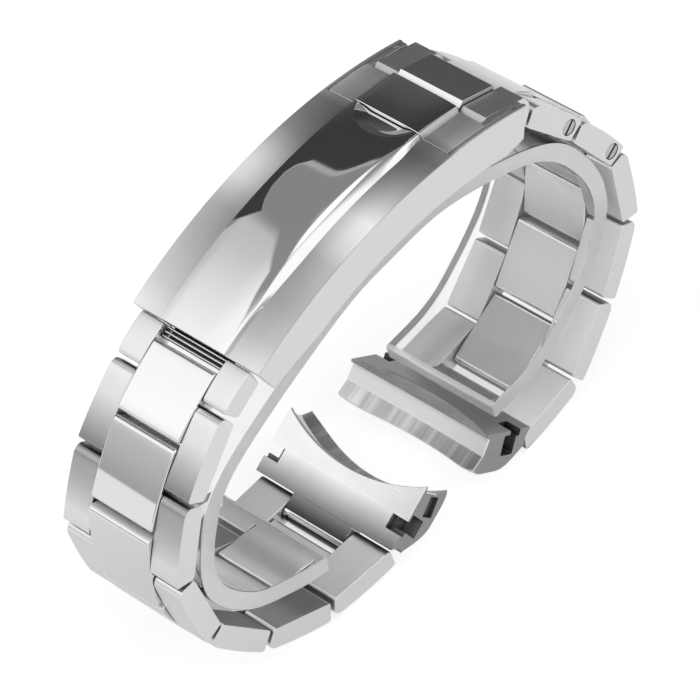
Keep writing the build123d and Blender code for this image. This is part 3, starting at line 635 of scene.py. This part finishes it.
def half_width(index, along):
    """Half width of the bracelet at a place along outer pair number index."""
    start = HEAD_HALF + WIDTH_STEP / 2 * (index - 1)
    return start + WIDTH_STEP / 2 * (along / LENGTH + 0.5)


def link_slots(outline, front_slot, end_slot):
    """Which finish each run of a link's outline has: 1 for the inside, one for each end, else 0."""
    low, high = min(y for y, z in outline), max(y for y, z in outline)

    def slots(i):
        (y, z), (next_y, next_z) = outline[i], outline[(i + 1) % len(outline)]
        if z < -HALF + 0.01 and next_z < -HALF + 0.01:
            return 1
        steep = abs(next_z - z) > 2 * abs(next_y - y)
        if steep and y < low + 0.5:
            return front_slot
        return end_slot if steep and y > high - 0.5 else 0

    return slots


def link_pins(side, index, where):
    """The two pins of an outer pair; on the pairs nearest the clasp one ends in a slotted screw head."""
    parts = []
    for along in (-OUTER_PIN, OUTER_PIN):
        end = half_width(index, along) - 0.9
        parts.append(cylinder(PIN_RADIUS, -end, end, along))
    pins = [make(f"pins_{side}_{index}", parts, [pin_steel], where)]
    if index <= SCREWED:
        top = half_width(index, OUTER_PIN)
        round_head = cylinder(HEAD_RADIUS, top - 0.74, top - 0.02, OUTER_PIN, 0, 48)
        head = make("head", [round_head], [pin_steel], where)
        slot = [(2.88, -1.2), (3.22, -1.2), (3.22, 1.2), (2.88, 1.2)]
        cut(head, make("slot", [prism(slot, top - 0.4, BEYOND)], [shade_steel], where))
        head.name = f"screw_{side}_{index}"
        pins.append(head)
    for each in pins:
        finish(each, 0.05)
        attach(each, f"side_{side}_outer_{index}")
        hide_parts(f"side_{side}_link_pins_{index}")


def outer_links(side, index, where):
    """Both plates of an outer pair, tapering with the bracelet."""
    outline = link_outline(LENGTH / 2, LENGTH / 2, 0.0)
    slots = link_slots(outline, 2, 3)
    # Links a4 and a5 take a darker copy inside, painted shade
    inside = inside_shaded if side == "a" and index in (4, 5) else inside_steel
    top = {("a", 1): brushed_a1, ("a", 2): brushed_a2}.get((side, index), brushed)
    near = prism(outline, PLATE_INSIDE, lambda y, z: half_width(index, y), slots, 2)
    far = prism(outline, lambda y, z: -half_width(index, y), -PLATE_INSIDE, slots, 2)
    # The rear ends (3) and the screw seats take painted shade
    obj = make(f"outer_{side}_{index}", [near, far], [top, inside, side_steel, shade_steel], where)
    if index <= SCREWED:
        seat = half_width(index, OUTER_PIN) - SEAT_DEPTH
        hole = cylinder(SEAT_RADIUS, seat, BEYOND, OUTER_PIN, 0, 48)
        cut(obj, make("hole", [hole], [shade_steel], where))
    finish(obj, 0.12)
    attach(obj, f"side_{side}_outer_{index}")
    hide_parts(f"side_{side}_outer_links_{index}")
    link_pins(side, index, where)


def centre_link(side, index, where):
    """A polished centre link; the sixth ones reach further back, under the end links."""
    front = 1.69 if index == 1 else 2.99
    rear = {("a", 6): 4.1, ("b", 6): 3.75}.get((side, index), 3.04)
    trail = 1.9 if side == "b" and index == 6 else 0.3
    outline = link_outline(CENTRE_PIN + front, CENTRE_PIN + rear, 0.18, 0.45, trail)
    body = prism(outline, -CENTRE_HALF, CENTRE_HALF, link_slots(outline, 3, 2))
    # Centre link b6 takes a darker copy inside, painted shade
    inside = inside_half_shaded if side == "b" and index == 6 else inside_steel
    # The rear ends (2) take painted shade and the fronts (3) a painted highlight
    obj = make(f"centre_{side}_{index}", [body], [mirror, inside, shade_steel, front_highlight], where)
    finish(obj, 0.2)
    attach(obj, f"side_{side}_centre_{index}")
    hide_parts(f"side_{side}_centre_link_{index}")


def bracelet_side(side):
    pins = pin_chain(side)
    for index in LINKS:
        k = 2 * index - 2
        where = link_frame(side, (pins[k] + pins[k + 1]) / 2, pins[k + 1] - pins[k])
        centre_link(side, index, where)
        where = link_frame(side, (pins[k + 1] + pins[k + 2]) / 2, pins[k + 2] - pins[k + 1])
        outer_links(side, index, where)


# The clasp, drawn about the centre of its arch: back from the nose, and height over its edge

def clasp_angle(back):
    return (CREST - back) / CLASP_RADIUS


def on_clasp(back, height):
    """The (y, z) of a place on the clasp, from the centre of its arch."""
    angle = clasp_angle(back)
    radius = CLASP_RADIUS + height
    return radius * math.sin(angle), radius * math.cos(angle)


def steps(start, stop, pitch, also=()):
    """Evenly spaced places from start to stop, with some others put in."""
    count = max(1, round((stop - start) / pitch))
    places = [start + (stop - start) * i / count for i in range(count + 1)]
    places += [place for place in also if start < place < stop]
    return sorted(set(places))


def sweep(section, places, cap_slot=0, bevels=(0.0, 0.0)):
    """A section of (x, height, material), which may change on its way, carried along the clasp.

    The bevels ease the outline's edge at the first and the last place.
    """
    loops = []
    last = len(places) - 1
    for k, back in enumerate(places):
        outline = [(x, h) for x, h, number in section(back)]
        loops.append([(x,) + on_clasp(back, h) for x, h in outline])
        for end, reach, bevel in ((0, -1, bevels[0]), (last, 1, bevels[1])):
            if k == end and bevel:
                eased = [(x,) + on_clasp(back, h) for x, h in inset(outline, bevel)]
                loops[-1] = [(x,) + on_clasp(back - reach * bevel, h) for x, h in outline]
                loops.insert(len(loops) if reach > 0 else len(loops) - 1, eased)
    return rings(loops, [number for x, h, number in section(places[0])], cap_slot)


def floor_at(back):
    """How low the cover's walls reach."""
    if back > COVER_LENGTH - WALL_RISE:
        return WALL_LOW + 1.1 * (back - COVER_LENGTH + WALL_RISE) / WALL_RISE
    return WALL_LOW + 0.9 * max(0.0, 1 - back / NOSE_RISE)


# The finish of each run of a section, by its place in the list of materials
BAND, SHINE, SIDE, INSIDE, RAIL = range(5)
cover_materials = [band, mirror, side_steel, inside_steel]


def strip_top(x):
    """Height of the polished strip, which is nearly flat and rolls off towards both its edges."""
    near = max(0.0, x - 1.0) / 3.45
    far = max(0.0, -x - 3.2) / 1.25
    return 0.73 - 0.13 * near ** 2.6 - 0.04 * far ** 2.5


def smooth(value, low, high):
    """A soft step from 0 at low to 1 at high."""
    share = min(1.0, max(0.0, (value - low) / (high - low)))
    return share * share * (3 - 2 * share)


def top_line(half, back):
    """The bands and the polished strip from near to far; its near flank is widest half-way along."""
    start = 4.45 - smooth(back, 38, 28) * smooth(back, 12, 19)
    foot = 4.62 + 0.53 * smooth(back, 42, 30) * smooth(back, 11, 16)
    line = [(half, -0.12, BAND), (half - 0.035, -0.03, BAND), (half - 0.12, 0.004, BAND)]
    line.append((foot, 0.12, SHINE))
    for i in range(1, 9):
        t = 1 - i / 8
        rise = math.cos(t * math.pi / 2)
        line.append((start + t * (foot - start), 0.12 + (strip_top(start) - 0.12) * rise, SHINE))
    for i in range(1, 21):
        x = start - (start + 4.4) * i / 20
        line.append((x, strip_top(x), SHINE))
    line += [(-4.5, 0.55, SHINE), (-4.75, 0.12, BAND)]
    return line + [(0.12 - half, 0.004, BAND), (0.035 - half, -0.03, BAND)]


def cover_section(back):
    """The cover behind the flip lock, with the channel that the carriage slides in."""
    low = floor_at(back)
    half = COVER_HALF
    inner = half - WALL
    line = [(half, low + 0.1, SIDE)] + top_line(half, back)
    line += [(-half, -0.12, SIDE), (-half, low + 0.1, SIDE), (0.1 - half, low, SIDE), (-inner, low, INSIDE)]
    line += [(-inner, -0.9, INSIDE), (-4.35, -0.9, INSIDE), (-4.35, -0.3, INSIDE)]
    line += [(4.35, -0.3, INSIDE), (4.35, -0.9, INSIDE), (inner, -0.9, INSIDE)]
    return line + [(inner, low, SIDE), (half - 0.1, low, SIDE)]


def skin_section(sense):
    """One wall beside the flip lock: thin above, where the lock lies inside it, and full below."""
    def section(back):
        low = floor_at(back)
        half = COVER_HALF
        inner = half - WALL
        line = [(half, low + 0.1, SIDE), (half, -0.12, BAND), (half - 0.035, -0.03, BAND)]
        line += [(half - 0.12, 0.004, BAND), (half - 0.47, 0.012, BAND), (half - 0.5, -0.03, INSIDE)]
        line += [(half - 0.5, -0.95, INSIDE), (inner, -0.95, INSIDE)]
        line += [(inner, low, SIDE), (half - 0.1, low, SIDE)]
        return [(sense * x, h, number) for x, h, number in line]
    return section


def clasp_cover():
    """The cover with the scoop for a finger at its seam, its thin front walls and the flip lock's pins."""
    places = steps(SEAM, COVER_LENGTH, 0.7, (COVER_LENGTH - WALL_RISE,))
    body = sweep(cover_section, places, SIDE, (0.0, 0.08))
    obj = make("cover", [body], [band, strip_mirror, side_steel, inside_steel], arch)
    bowl = [(0, 0), (2.3, 0), (2.55, 0.03), (2.75, 0.1), (3.95, 0.45), (4.3, 0.62), (4.3, 1.5), (0, 1.5)]
    y, z = on_clasp(SEAM - 0.9, 0.2)
    tilt = Matrix.Rotation(-clasp_angle(SEAM - 0.9), 4, "X")
    where = arch @ Matrix.Translation(Vector((0, y, z)) * MM) @ tilt
    cut(obj, make("scoop", [revolved(bowl)], [mirror], where))
    sharp(obj)
    places = steps(0, SEAM, 0.65, (NOSE_RISE,))
    walls = [sweep(skin_section(sense), places, SIDE, (0.08, 0.0)) for sense in (1, -1)]
    skins = make("cover_walls", walls, cover_materials, arch)
    sharp(skins)
    y, z = on_clasp(*LOCK_PIN)
    pins = [cylinder(0.35, low, low + 0.8, y, z) for low in (7.77, -8.57)]
    ends = make("lock_pins", pins, [pin_steel], arch)
    finish(ends, 0.04)
    for each, name in ((obj, "clasp_cover"), (skins, "clasp_cover"), (ends, "flip_lock_pins")):
        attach(each, "clasp")
        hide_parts(name)


def flip_lock():
    """The plate that carries on the cover's top, its two rails and the lobes round its pins."""
    half = LOCK_HALF

    def plate(back):
        return top_line(half, back) + [(-half, -0.12, SIDE), (-half, -0.9, INSIDE), (half, -0.9, SIDE)]

    def rail(sense):
        def section(back):
            line = [(half, -0.85, RAIL), (half, -0.06, RAIL), (half - 0.04, -0.02, RAIL)]
            line += [(half - 0.68, -0.02, RAIL), (half - 0.72, -0.06, RAIL), (half - 0.72, -0.85, RAIL)]
            return [(sense * x, h, number) for x, h, number in line]
        return section

    y, z = on_clasp(*LOCK_PIN)
    parts = [sweep(plate, steps(5.8, SEAM - 0.12, 0.6), SHINE, (0.1, 0.05))]
    parts += [sweep(rail(sense), steps(0.2, 6.2, 0.6), RAIL) for sense in (1, -1)]
    lobes = [cylinder(1.36, low, low + 0.62, y, z, 48) for low in (half - 0.62, -half)]
    obj = make("flip_lock_shell", parts + lobes, cover_materials + [satin], arch)
    sharp(obj)
    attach(obj, "flip_lock")
    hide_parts("flip_lock")


def glide_carriage():
    """The sliding block: its slab and ridges in the cover's end, and the ears that side A hangs from."""
    def bar(half, low, high):
        corners = [(half, low), (half, high), (-half, high), (-half, low)]
        return lambda back: [(x, h, 0) for x, h in corners]

    parts = [
        sweep(bar(4.2, -2.5, -2.16), steps(COVER_LENGTH - 12.0, COVER_LENGTH + 1.2, 1.1), 0),
        sweep(bar(7.6, -2.5, -1.0), steps(COVER_LENGTH - 3.6, COVER_LENGTH - 0.1, 1.1), 0),
    ]
    # The slab is nearly black: painted shade in the recess under the cover
    slab = make("carriage", parts, [shade_steel], arch)
    finish(slab, 0.06)
    ridges = []
    for start in (0.1, 0.62, 1.14):
        outline = [
            on_clasp(COVER_LENGTH + start + 0.17 - 0.17 * math.cos(a), -1.25 + 0.3 * math.sin(a))
            for a in [math.pi * k / 10 for k in range(11)]
        ]
        outline += [on_clasp(COVER_LENGTH + start + 0.34, -2.2), on_clasp(COVER_LENGTH + start, -2.2)]
        ridges.append(prism(outline, -4.2, 4.2))
    rows = make("carriage_ridges", ridges, [mirror], arch)
    sharp(rows)
    direction = heading(-math.pi - clasp_angle(COVER_LENGTH + 3.45))
    where = link_frame("a", pin("side_a_centre_1_hinge"), direction)
    outline = link_outline(3.35, LENGTH / 2 - OUTER_PIN, 0.0, 0.2)
    slots = link_slots(outline, 2, 3)
    ears = [prism(outline, low, low + 3.19, slots, 2) for low in (PLATE_INSIDE, -HEAD_HALF)]
    # The ears' rear ends (3) take painted shade
    ear = make("carriage_ears", ears, [brushed, inside_steel, side_steel, shade_steel], where)
    finish(ear, 0.12)
    rod = make("glide_rod", [cylinder(PIN_RADIUS, -6.8, 6.8)], [pin_steel], where)
    finish(rod, 0.05)
    for obj, name, finish_slot in (
        (slab, "glide_carriage", "blade_steel"), (rows, "glide_carriage", "blade_steel"),
        (ear, "glide_carriage", "blade_steel"), (rod, "glide_pin", "pin_steel"),
    ):
        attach(obj, "glide")
        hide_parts(name)


def blade_end():
    """The end piece that side B hangs from: two plates and the raised block between them."""
    where = link_frame("b", pin("side_b_centre_1_hinge"), heading(-clasp_angle(-0.5)))
    outline = fillet([
        (-6.05, 1.85), (-6.05, -0.975), (-5.65, -1.375), (1.24, -1.375), (1.69, 0.405), (1.45, 1.5),
        (0.55, 2.35), (-5.45, 2.45),
    ], [0.06, 0.1, 0.1, 0.4, 0.35, 0.3, 0.25, 0.06])
    near = prism(outline, PLATE_INSIDE, HEAD_HALF, None, 1)
    far = prism(outline, -HEAD_HALF, -PLATE_INSIDE, None, 1)
    plates = make("end_plates", [near, far], [satin, side_steel], where)
    hole = cylinder(SEAT_RADIUS, HEAD_HALF - SEAT_DEPTH, BEYOND)
    cut(plates, make("hole", [hole], [side_steel], where))
    finish(plates, 0.08)
    corners = [(5.55, -3.95), (5.55, 0.12), (4.9, 0.7), (0, 0.35), (0, -0.6), (2.6, -0.6), (2.6, -3.95)]
    outline = fillet([on_clasp(*corner) for corner in corners], [0, 0.08, 0.1, 0.25, 0.15, 0.2, 0])
    block = make("end_block", [prism(outline, -CENTRE_HALF, CENTRE_HALF)], [mirror], arch)
    finish(block, 0.22)
    for obj, name, finish_slot in (
        (plates, "blade_end_plates", "link_steel"), (block, "blade_end_block", "polished_steel"),
    ):
        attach(obj, "lower_blade")
        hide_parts(name)


# End links

END_HEADINGS = {"a": math.radians(33.967), "b": math.radians(147.314)}
TILT = math.radians(23)
BARREL_RADIUS = 1.375
GROOVE_RADIUS = 2.3


def curve_depth(radius, x):
    """How far an arc over the end link's width stands out at x."""
    return math.sqrt(radius ** 2 - x ** 2) - math.sqrt(radius ** 2 - LUG_HALF ** 2)


def end_top(bulge):
    """The outer line of an end link from its shoulder to its lip."""
    line = []
    for start, stop, first, last in (
        ((2.3, 0.9), (6.2, bulge), (1, 1), (1, 0)),
        ((8.6, bulge), (10.5, bulge - 0.65), (1, 0), (1, -1)),
    ):
        a, b = Vector(start), Vector(stop)
        reach = (b - a).length
        m, n = Vector(first).normalized() * reach, Vector(last).normalized() * reach
        for t in [i / 48 for i in range(49)]:
            line.append(
                a * (2 * t ** 3 - 3 * t ** 2 + 1) + m * (t ** 3 - 2 * t ** 2 + t)
                + b * (3 * t ** 2 - 2 * t ** 3) + n * (t ** 3 - t ** 2)
            )
    return line + [line[-1] + Vector((1.2, -1.2))]


def end_profile(x):
    """The closed outline of an end link at a place across it, and the material of each run."""
    cos, sin = math.cos(TILT), math.sin(TILT)
    deep = curve_depth(17.8, x)
    rim = 9.75 - cos * curve_depth(19.5, x)
    floor = (9.2 - cos * deep, -0.75 + sin * deep)
    root = Vector((9.5 - cos * deep, 1.25 + sin * deep))
    rim_low = floor[1] - (rim - floor[0]) * sin / cos
    top = end_top(3.45 + 0.6 * (1 - (x / LUG_HALF) ** 2))
    # The outer line is kept as far as the lip's slope, and evenly spaced there
    slope = Vector((1.0, 1.55))
    kept = []
    for a, b in zip(top, top[1:]):
        kept.append(a)
        side_a, side_b = slope.cross(a - root), slope.cross(b - root)
        if side_a > 0 >= side_b:
            tip = a + (b - a) * side_a / (side_a - side_b)
            break
    lengths = [0.0]
    kept.append(tip)
    for a, b in zip(kept, kept[1:]):
        lengths.append(lengths[-1] + (b - a).length)
    count = 22
    even = []
    for i in range(count, 0, -1):
        want = lengths[-1] * i / (count + 1)
        k = max(j for j, length in enumerate(lengths) if length <= want)
        share = (want - lengths[k]) / (lengths[k + 1] - lengths[k])
        even.append(tuple(kept[k].lerp(kept[k + 1], share)))
    points = [(1.843, -HALF), (rim, -HALF), (rim, rim_low), floor, tuple(root), tuple(tip)]
    radii = [0.22, 0.06, 0.05, 0.12, 0.1, 0.22]
    numbers = [0, 4, 5, 5, 1, 3]
    points += even + [(2.3, 0.9), (2.117, 0.9)]
    radii += [0] * count + [0.08, 0]
    numbers += [3] * count + [2, 2]
    first, last = math.atan2(0.9, 2.117), math.atan2(-HALF, 1.843)
    points += arc(GROOVE_RADIUS, [first + (last - first) * i / 8 for i in range(1, 8)])
    radii += [0] * 7
    numbers += [6] * 7
    runs = []
    for number, radius in zip(numbers, radii):
        runs += [number] * (ROUNDING + 1 if radius else 1)
    return fillet(points, radii), runs


def end_link(side):
    """The solid end link: one body with a hollow front, and the tongue on the last pin."""
    where = link_frame(side, pin(f"end_link_{side}_hinge"), heading(END_HEADINGS[side]))
    # Painted shade in the groove (6), painted highlight on the front (5), painted reflections on the lip
    # (1), painted shade on the rim (4) and side B's body (0)
    materials = [end_steel[side], lip_steel, end_side, brushed, rim_steel, front_highlight, shade_steel]
    loops = []
    for x in [-LUG_HALF + 2 * LUG_HALF * k / 40 for k in range(41)]:
        outline, runs = end_profile(x)
        if abs(x) == LUG_HALF:
            inner = [(x, u, v) for u, v in inset(outline, 0.1)]
            outer = [(x - math.copysign(0.1, x), u, v) for u, v in outline]
            loops += [inner, outer] if x < 0 else [outer, inner]
        else:
            loops.append([(x, u, v) for u, v in outline])
    body = make(f"end_body_{side}", [rings(loops, runs, 2)], materials, where)
    bore = cylinder(BAR_HOLE, -BEYOND, BEYOND, 5.7, 0.25, 48)
    cutters = [make("hole", [bore], [side_steel], where)]
    pocket = fillet([(4.3, -0.9), (6.4, -0.9), (6.2, 1.6), (4.1, 1.6)], [0.15] * 4)
    slit = [(3.75, -2), (5.5, -2), (5.5, -0.6), (3.75, -0.6)]
    hollow = fillet([(6.6, 0.9), (9.0, 0.4), (9.25, 1.9), (6.9, 2.6)], [0.1] * 4)
    openings = [("pocket", pocket, 8.2), ("slit", slit, 7.95)]
    if side == "a":
        openings.append(("hollow", hollow, 9.5))
    for sense in (1, -1):
        for name, shape, start in openings:
            low, high = sorted((sense * start, sense * BEYOND))
            cutters.append(make(name, [prism(shape, low, high)], [shade_steel], where))
    cut(body, *cutters)
    sharp(body, 28)
    barrel = arc(BARREL_RADIUS, [math.radians(60 + (270 - 60) * k / 40) for k in range(41)])
    # Set in by a hair at the inside face, so that it never shares the body's face there
    outline = barrel + [(0.4, 0.01 - HALF), (3.0, 0.02 - HALF), (3.0, 0.85), (2.0, 0.85), (1.4, 0.8)]
    solid = prism(outline, -4.27, 4.27, lambda i: 2 if 39 < i < 42 else 0, 1)
    tongue = make(f"end_tongue_{side}", [solid], [mirror, side_steel, end_steel[side]], where)
    sharp(tongue)
    for obj in (body, tongue):
        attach(obj, f"end_link_{side}")
        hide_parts(f"end_link_{side}")


# Clear former

def former_points(extra):
    """Points along the strip's outer face, moved in by extra, from side A over the clasp to side B."""
    def inward(side, point, direction, gap):
        outward = link_frame(side, point, direction).col[2].to_3d()
        return point - outward * (HALF + gap) * MM

    chains = {side: pin_chain(side) for side in SIDES}
    # How far the strip stands off each outer pair, from the clasp on
    gaps = {"a": (1.2, 0.8, 0.5, 1.6, 2.7), "b": (1.1, 0.5, 1.0, 2.0, 3.6, 3.8)}

    def beside(side, index):
        start, stop = chains[side][2 * index - 1], chains[side][2 * index]
        return inward(side, (start + stop) / 2, stop - start, gaps[side][index - 1] + extra)

    last = chains["a"]
    route = [inward("a", last[-2], last[-1] - last[-2], gaps["a"][-1] + extra)]
    route += [beside("a", index) for index in range(5, 0, -1)]
    for back in (COVER_LENGTH * 3 / 4, COVER_LENGTH / 2, COVER_LENGTH / 4):
        y, z = on_clasp(back, WALL_LOW - 0.45 - extra)
        route.append(centre + Vector((0, y, z)) * MM)
    route += [beside("b", index) for index in range(1, 7)]
    last = chains["b"]
    along = (last[-1] - last[-2]).normalized()
    route.append(inward("b", last[-1] + along * 3.0 * MM, along, 4.0 + extra))
    return [(point.y / MM, point.z / MM) for point in route]


def flow(points, count):
    """A smooth line through the points, in count steps from one to the next."""
    points = [Vector(p) for p in points]
    padded = [2 * points[0] - points[1]] + points + [2 * points[-1] - points[-2]]
    line = []
    for i in range(1, len(padded) - 2):
        a, b, c, d = padded[i - 1:i + 3]
        squared = 2 * a - 5 * b + 4 * c - d
        cubed = 3 * b - a - 3 * c + d
        for t in [step / count for step in range(count)]:
            line.append(tuple(0.5 * (2 * b + (c - a) * t + squared * t ** 2 + cubed * t ** 3)))
    return line + [tuple(points[-1])]


def clear_former():
    """The clear strip, frosted on its edges and at its two ends."""
    outer = flow(former_points(0.0), 10)
    inner = flow(former_points(STRIP_THICK), 10)
    radii = [0.9] + [0] * (len(outer) - 2) + [0.9]
    outline = fillet(outer + inner[::-1], radii + radii)
    ends = [(Vector(outer[k]) + Vector(inner[k])) / 2 for k in (0, -1)]

    def slots(i):
        middle = (Vector(outline[i]) + Vector(outline[(i + 1) % len(outline)])) / 2
        return 1 if min((middle - end).length for end in ends) < 1.3 else 0

    obj = make("former_strip", [prism(outline, -STRIP_HALF, STRIP_HALF, slots, 1)], [clear, frosted])
    finish(obj, 0.15, 2, 60, "MITER_SHARP")
    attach(obj, "former")
    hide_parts("clear_former")
    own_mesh(obj)


# Camera, light and floor

def camera():
    """The camera fitted to the photo."""
    az = math.radians(49.06)
    el = math.radians(45.12)
    roll = math.radians(-9.48)
    back = Vector((math.sin(az) * math.cos(el), -math.cos(az) * math.cos(el), math.sin(el)))
    right = Vector((math.cos(az), math.sin(az), 0))
    up = back.cross(right)
    tilted = right * math.cos(roll) + up * math.sin(roll)
    lens = bpy.data.cameras.new("camera")
    lens.sensor_width = 36
    lens.lens = 246.4
    lens.clip_start = 0.05
    lens.clip_end = 20
    obj = bpy.data.objects.new("camera", lens)
    turn = Matrix((tilted, back.cross(tilted), back)).transposed()
    obj.matrix_world = Matrix.Translation(Vector((270.7, -235.935, 382.252)) * MM) @ turn.to_4x4()
    bpy.context.collection.objects.link(obj)
    bpy.context.scene.camera = obj


def studio():
    """The room that the steel mirrors: broad and light overhead, a grey screen and a dark far wall."""
    world = bpy.data.worlds.new("studio")
    world.use_nodes = True
    n = Nodes(world.node_tree)
    shader = world.node_tree.nodes["Background"]

    def past(value, edge):
        return n.spread(value, edge - SOFT_EDGE, edge + SOFT_EDGE, 0.0, 1.0)

    x, y, z = n.split(n.add("ShaderNodeTexCoord").outputs["Generated"])
    # Towards the far side, as the camera sees it
    far = n.plus(n.times(x, -0.755), n.times(y, 0.656))
    lamp, screen, wall = [
        n.ramp(n.math("MULTIPLY_ADD", far, 0.5, 0.5), [(0.5 + s / 2, v) for s, v in stops])
        for stops in (LAMP, SCREEN, BACK_WALL)
    ]
    above = n.math("MULTIPLY_ADD", n.math("MAXIMUM", far, SCREEN_TURN), SCREEN_SLOPE, z)
    sky = n.mix(n.math("MAXIMUM", past(above, SCREEN_EDGE), past(far, SCREEN_LAST)), lamp, screen)
    sky = n.mix(past(far, BACK_WALL_EDGE), sky, wall)
    lift = n.ramp(n.math("MULTIPLY_ADD", z, 0.5, 0.5), [(0.5 + s / 2, v) for s, v in HORIZON])
    level = n.times(n.times(sky, lift), SKY_LEVEL)
    facing = [n.times(value, share) for value, share in zip((x, y, z), SPOT)]
    facing = n.plus(n.plus(facing[0], facing[1]), facing[2])
    level = n.plus(level, n.spread(facing, 0.975, 0.995, 0.0, SPOT_LEVEL))
    # Beyond the table's rim the room goes on as light as the table
    ground = n.spread(z, 0.05, 0.065, TABLE_LEVEL, 0.0)
    level = n.math("MAXIMUM", level, ground)
    light = n.add("ShaderNodeLightPath")
    seen = n.math("MAXIMUM", light.outputs["Is Camera Ray"], light.outputs["Is Transmission Ray"])
    level = n.math("MAXIMUM", level, seen)
    n.put(shader.inputs["Color"], n.vector(level, level, level))
    n.put(shader.inputs["Strength"], 1.0)
    bpy.context.scene.world = world


def table():
    """A pale table. The steel mirrors it darker under the bracelet, a painted shadow, and darker far off on
    the flip lock's side, painted dimming of the light.
    """
    made = bpy.data.materials.new("table")
    made.use_nodes = True
    n = Nodes(made.node_tree)
    n.tree.nodes.remove(made.node_tree.nodes["Principled BSDF"])
    output = made.node_tree.nodes["Material Output"]
    light = n.add("ShaderNodeLightPath")
    glow = n.add("ShaderNodeEmission")
    direct = n.math("MAXIMUM", light.outputs["Is Camera Ray"], light.outputs["Is Transmission Ray"])
    x, y, z = n.split(n.add("ShaderNodeNewGeometry").outputs["Position"])
    reach = n.math("SQRT", n.plus(n.times(x, x), n.times(y, y)))
    reach = n.times(reach, n.spread(y, -0.02, 0.02, 0.0, 1.0))
    # Painted shadow under the bracelet and painted dimming far off, in what the steel mirrors
    close = n.spread(n.math("ABSOLUTE", x), 0.010, 0.052, TABLE_UNDER, TABLE_LEVEL)
    shaded = n.math("MINIMUM", close, n.spread(reach, 0.09, 0.30, TABLE_LEVEL, TABLE_FAR_OFF))
    more = n.math("SUBTRACT", TABLE_SEEN, shaded)
    n.put(glow.inputs["Strength"], n.math("MULTIPLY_ADD", direct, more, shaded))
    plain = n.add("ShaderNodeBsdfDiffuse")
    n.put(plain.inputs["Color"], grey(TABLE_GREY))
    both = n.add("ShaderNodeAddShader")
    n.put(both.inputs[0], glow.outputs[0])
    n.put(both.inputs[1], plain.outputs[0])
    choice = n.add("ShaderNodeMixShader")
    n.put(choice.inputs[0], direct)
    n.put(choice.inputs[1], glow.outputs[0])
    n.put(choice.inputs[2], both.outputs[0])
    n.put(output.inputs["Surface"], choice.outputs[0])
    corners = [(x * TABLE_HALF, y * TABLE_HALF, TABLE_TOP) for x, y in ((-1, -1), (1, -1), (1, 1), (-1, 1))]
    obj = make("table", [(corners, [((0, 1, 2, 3), 0)])], [made])


def inner_light():
    """A faint lamp, for the light that table and former throw on the insides of the links."""
    lamp = bpy.data.lights.new("inner_light", "POINT")
    lamp.energy = 0.001
    lamp.shadow_soft_size = 0.008
    obj = bpy.data.objects.new("inner_light", lamp)
    obj.location = Vector((0, 2, 22)) * MM
    obj.visible_camera = False
    obj.visible_transmission = False
    bpy.context.collection.objects.link(obj)


camera()
studio()
inner_light()
table()
clasp_cover()
flip_lock()
blade_end()
glide_carriage()
for side in SIDES:
    bracelet_side(side)
    end_link(side)
clear_former()

# The solids that no piece replaces are shown as they are
blades = {"upper_blade": blade_steel, "lower_blade": blade_steel}
for name, obj in frame["nodes"].items():
    obj.data.materials.clear()
    obj.data.materials.append(blades.get(name, pin_steel))

bpy.context.scene.view_settings.view_transform = "Standard"
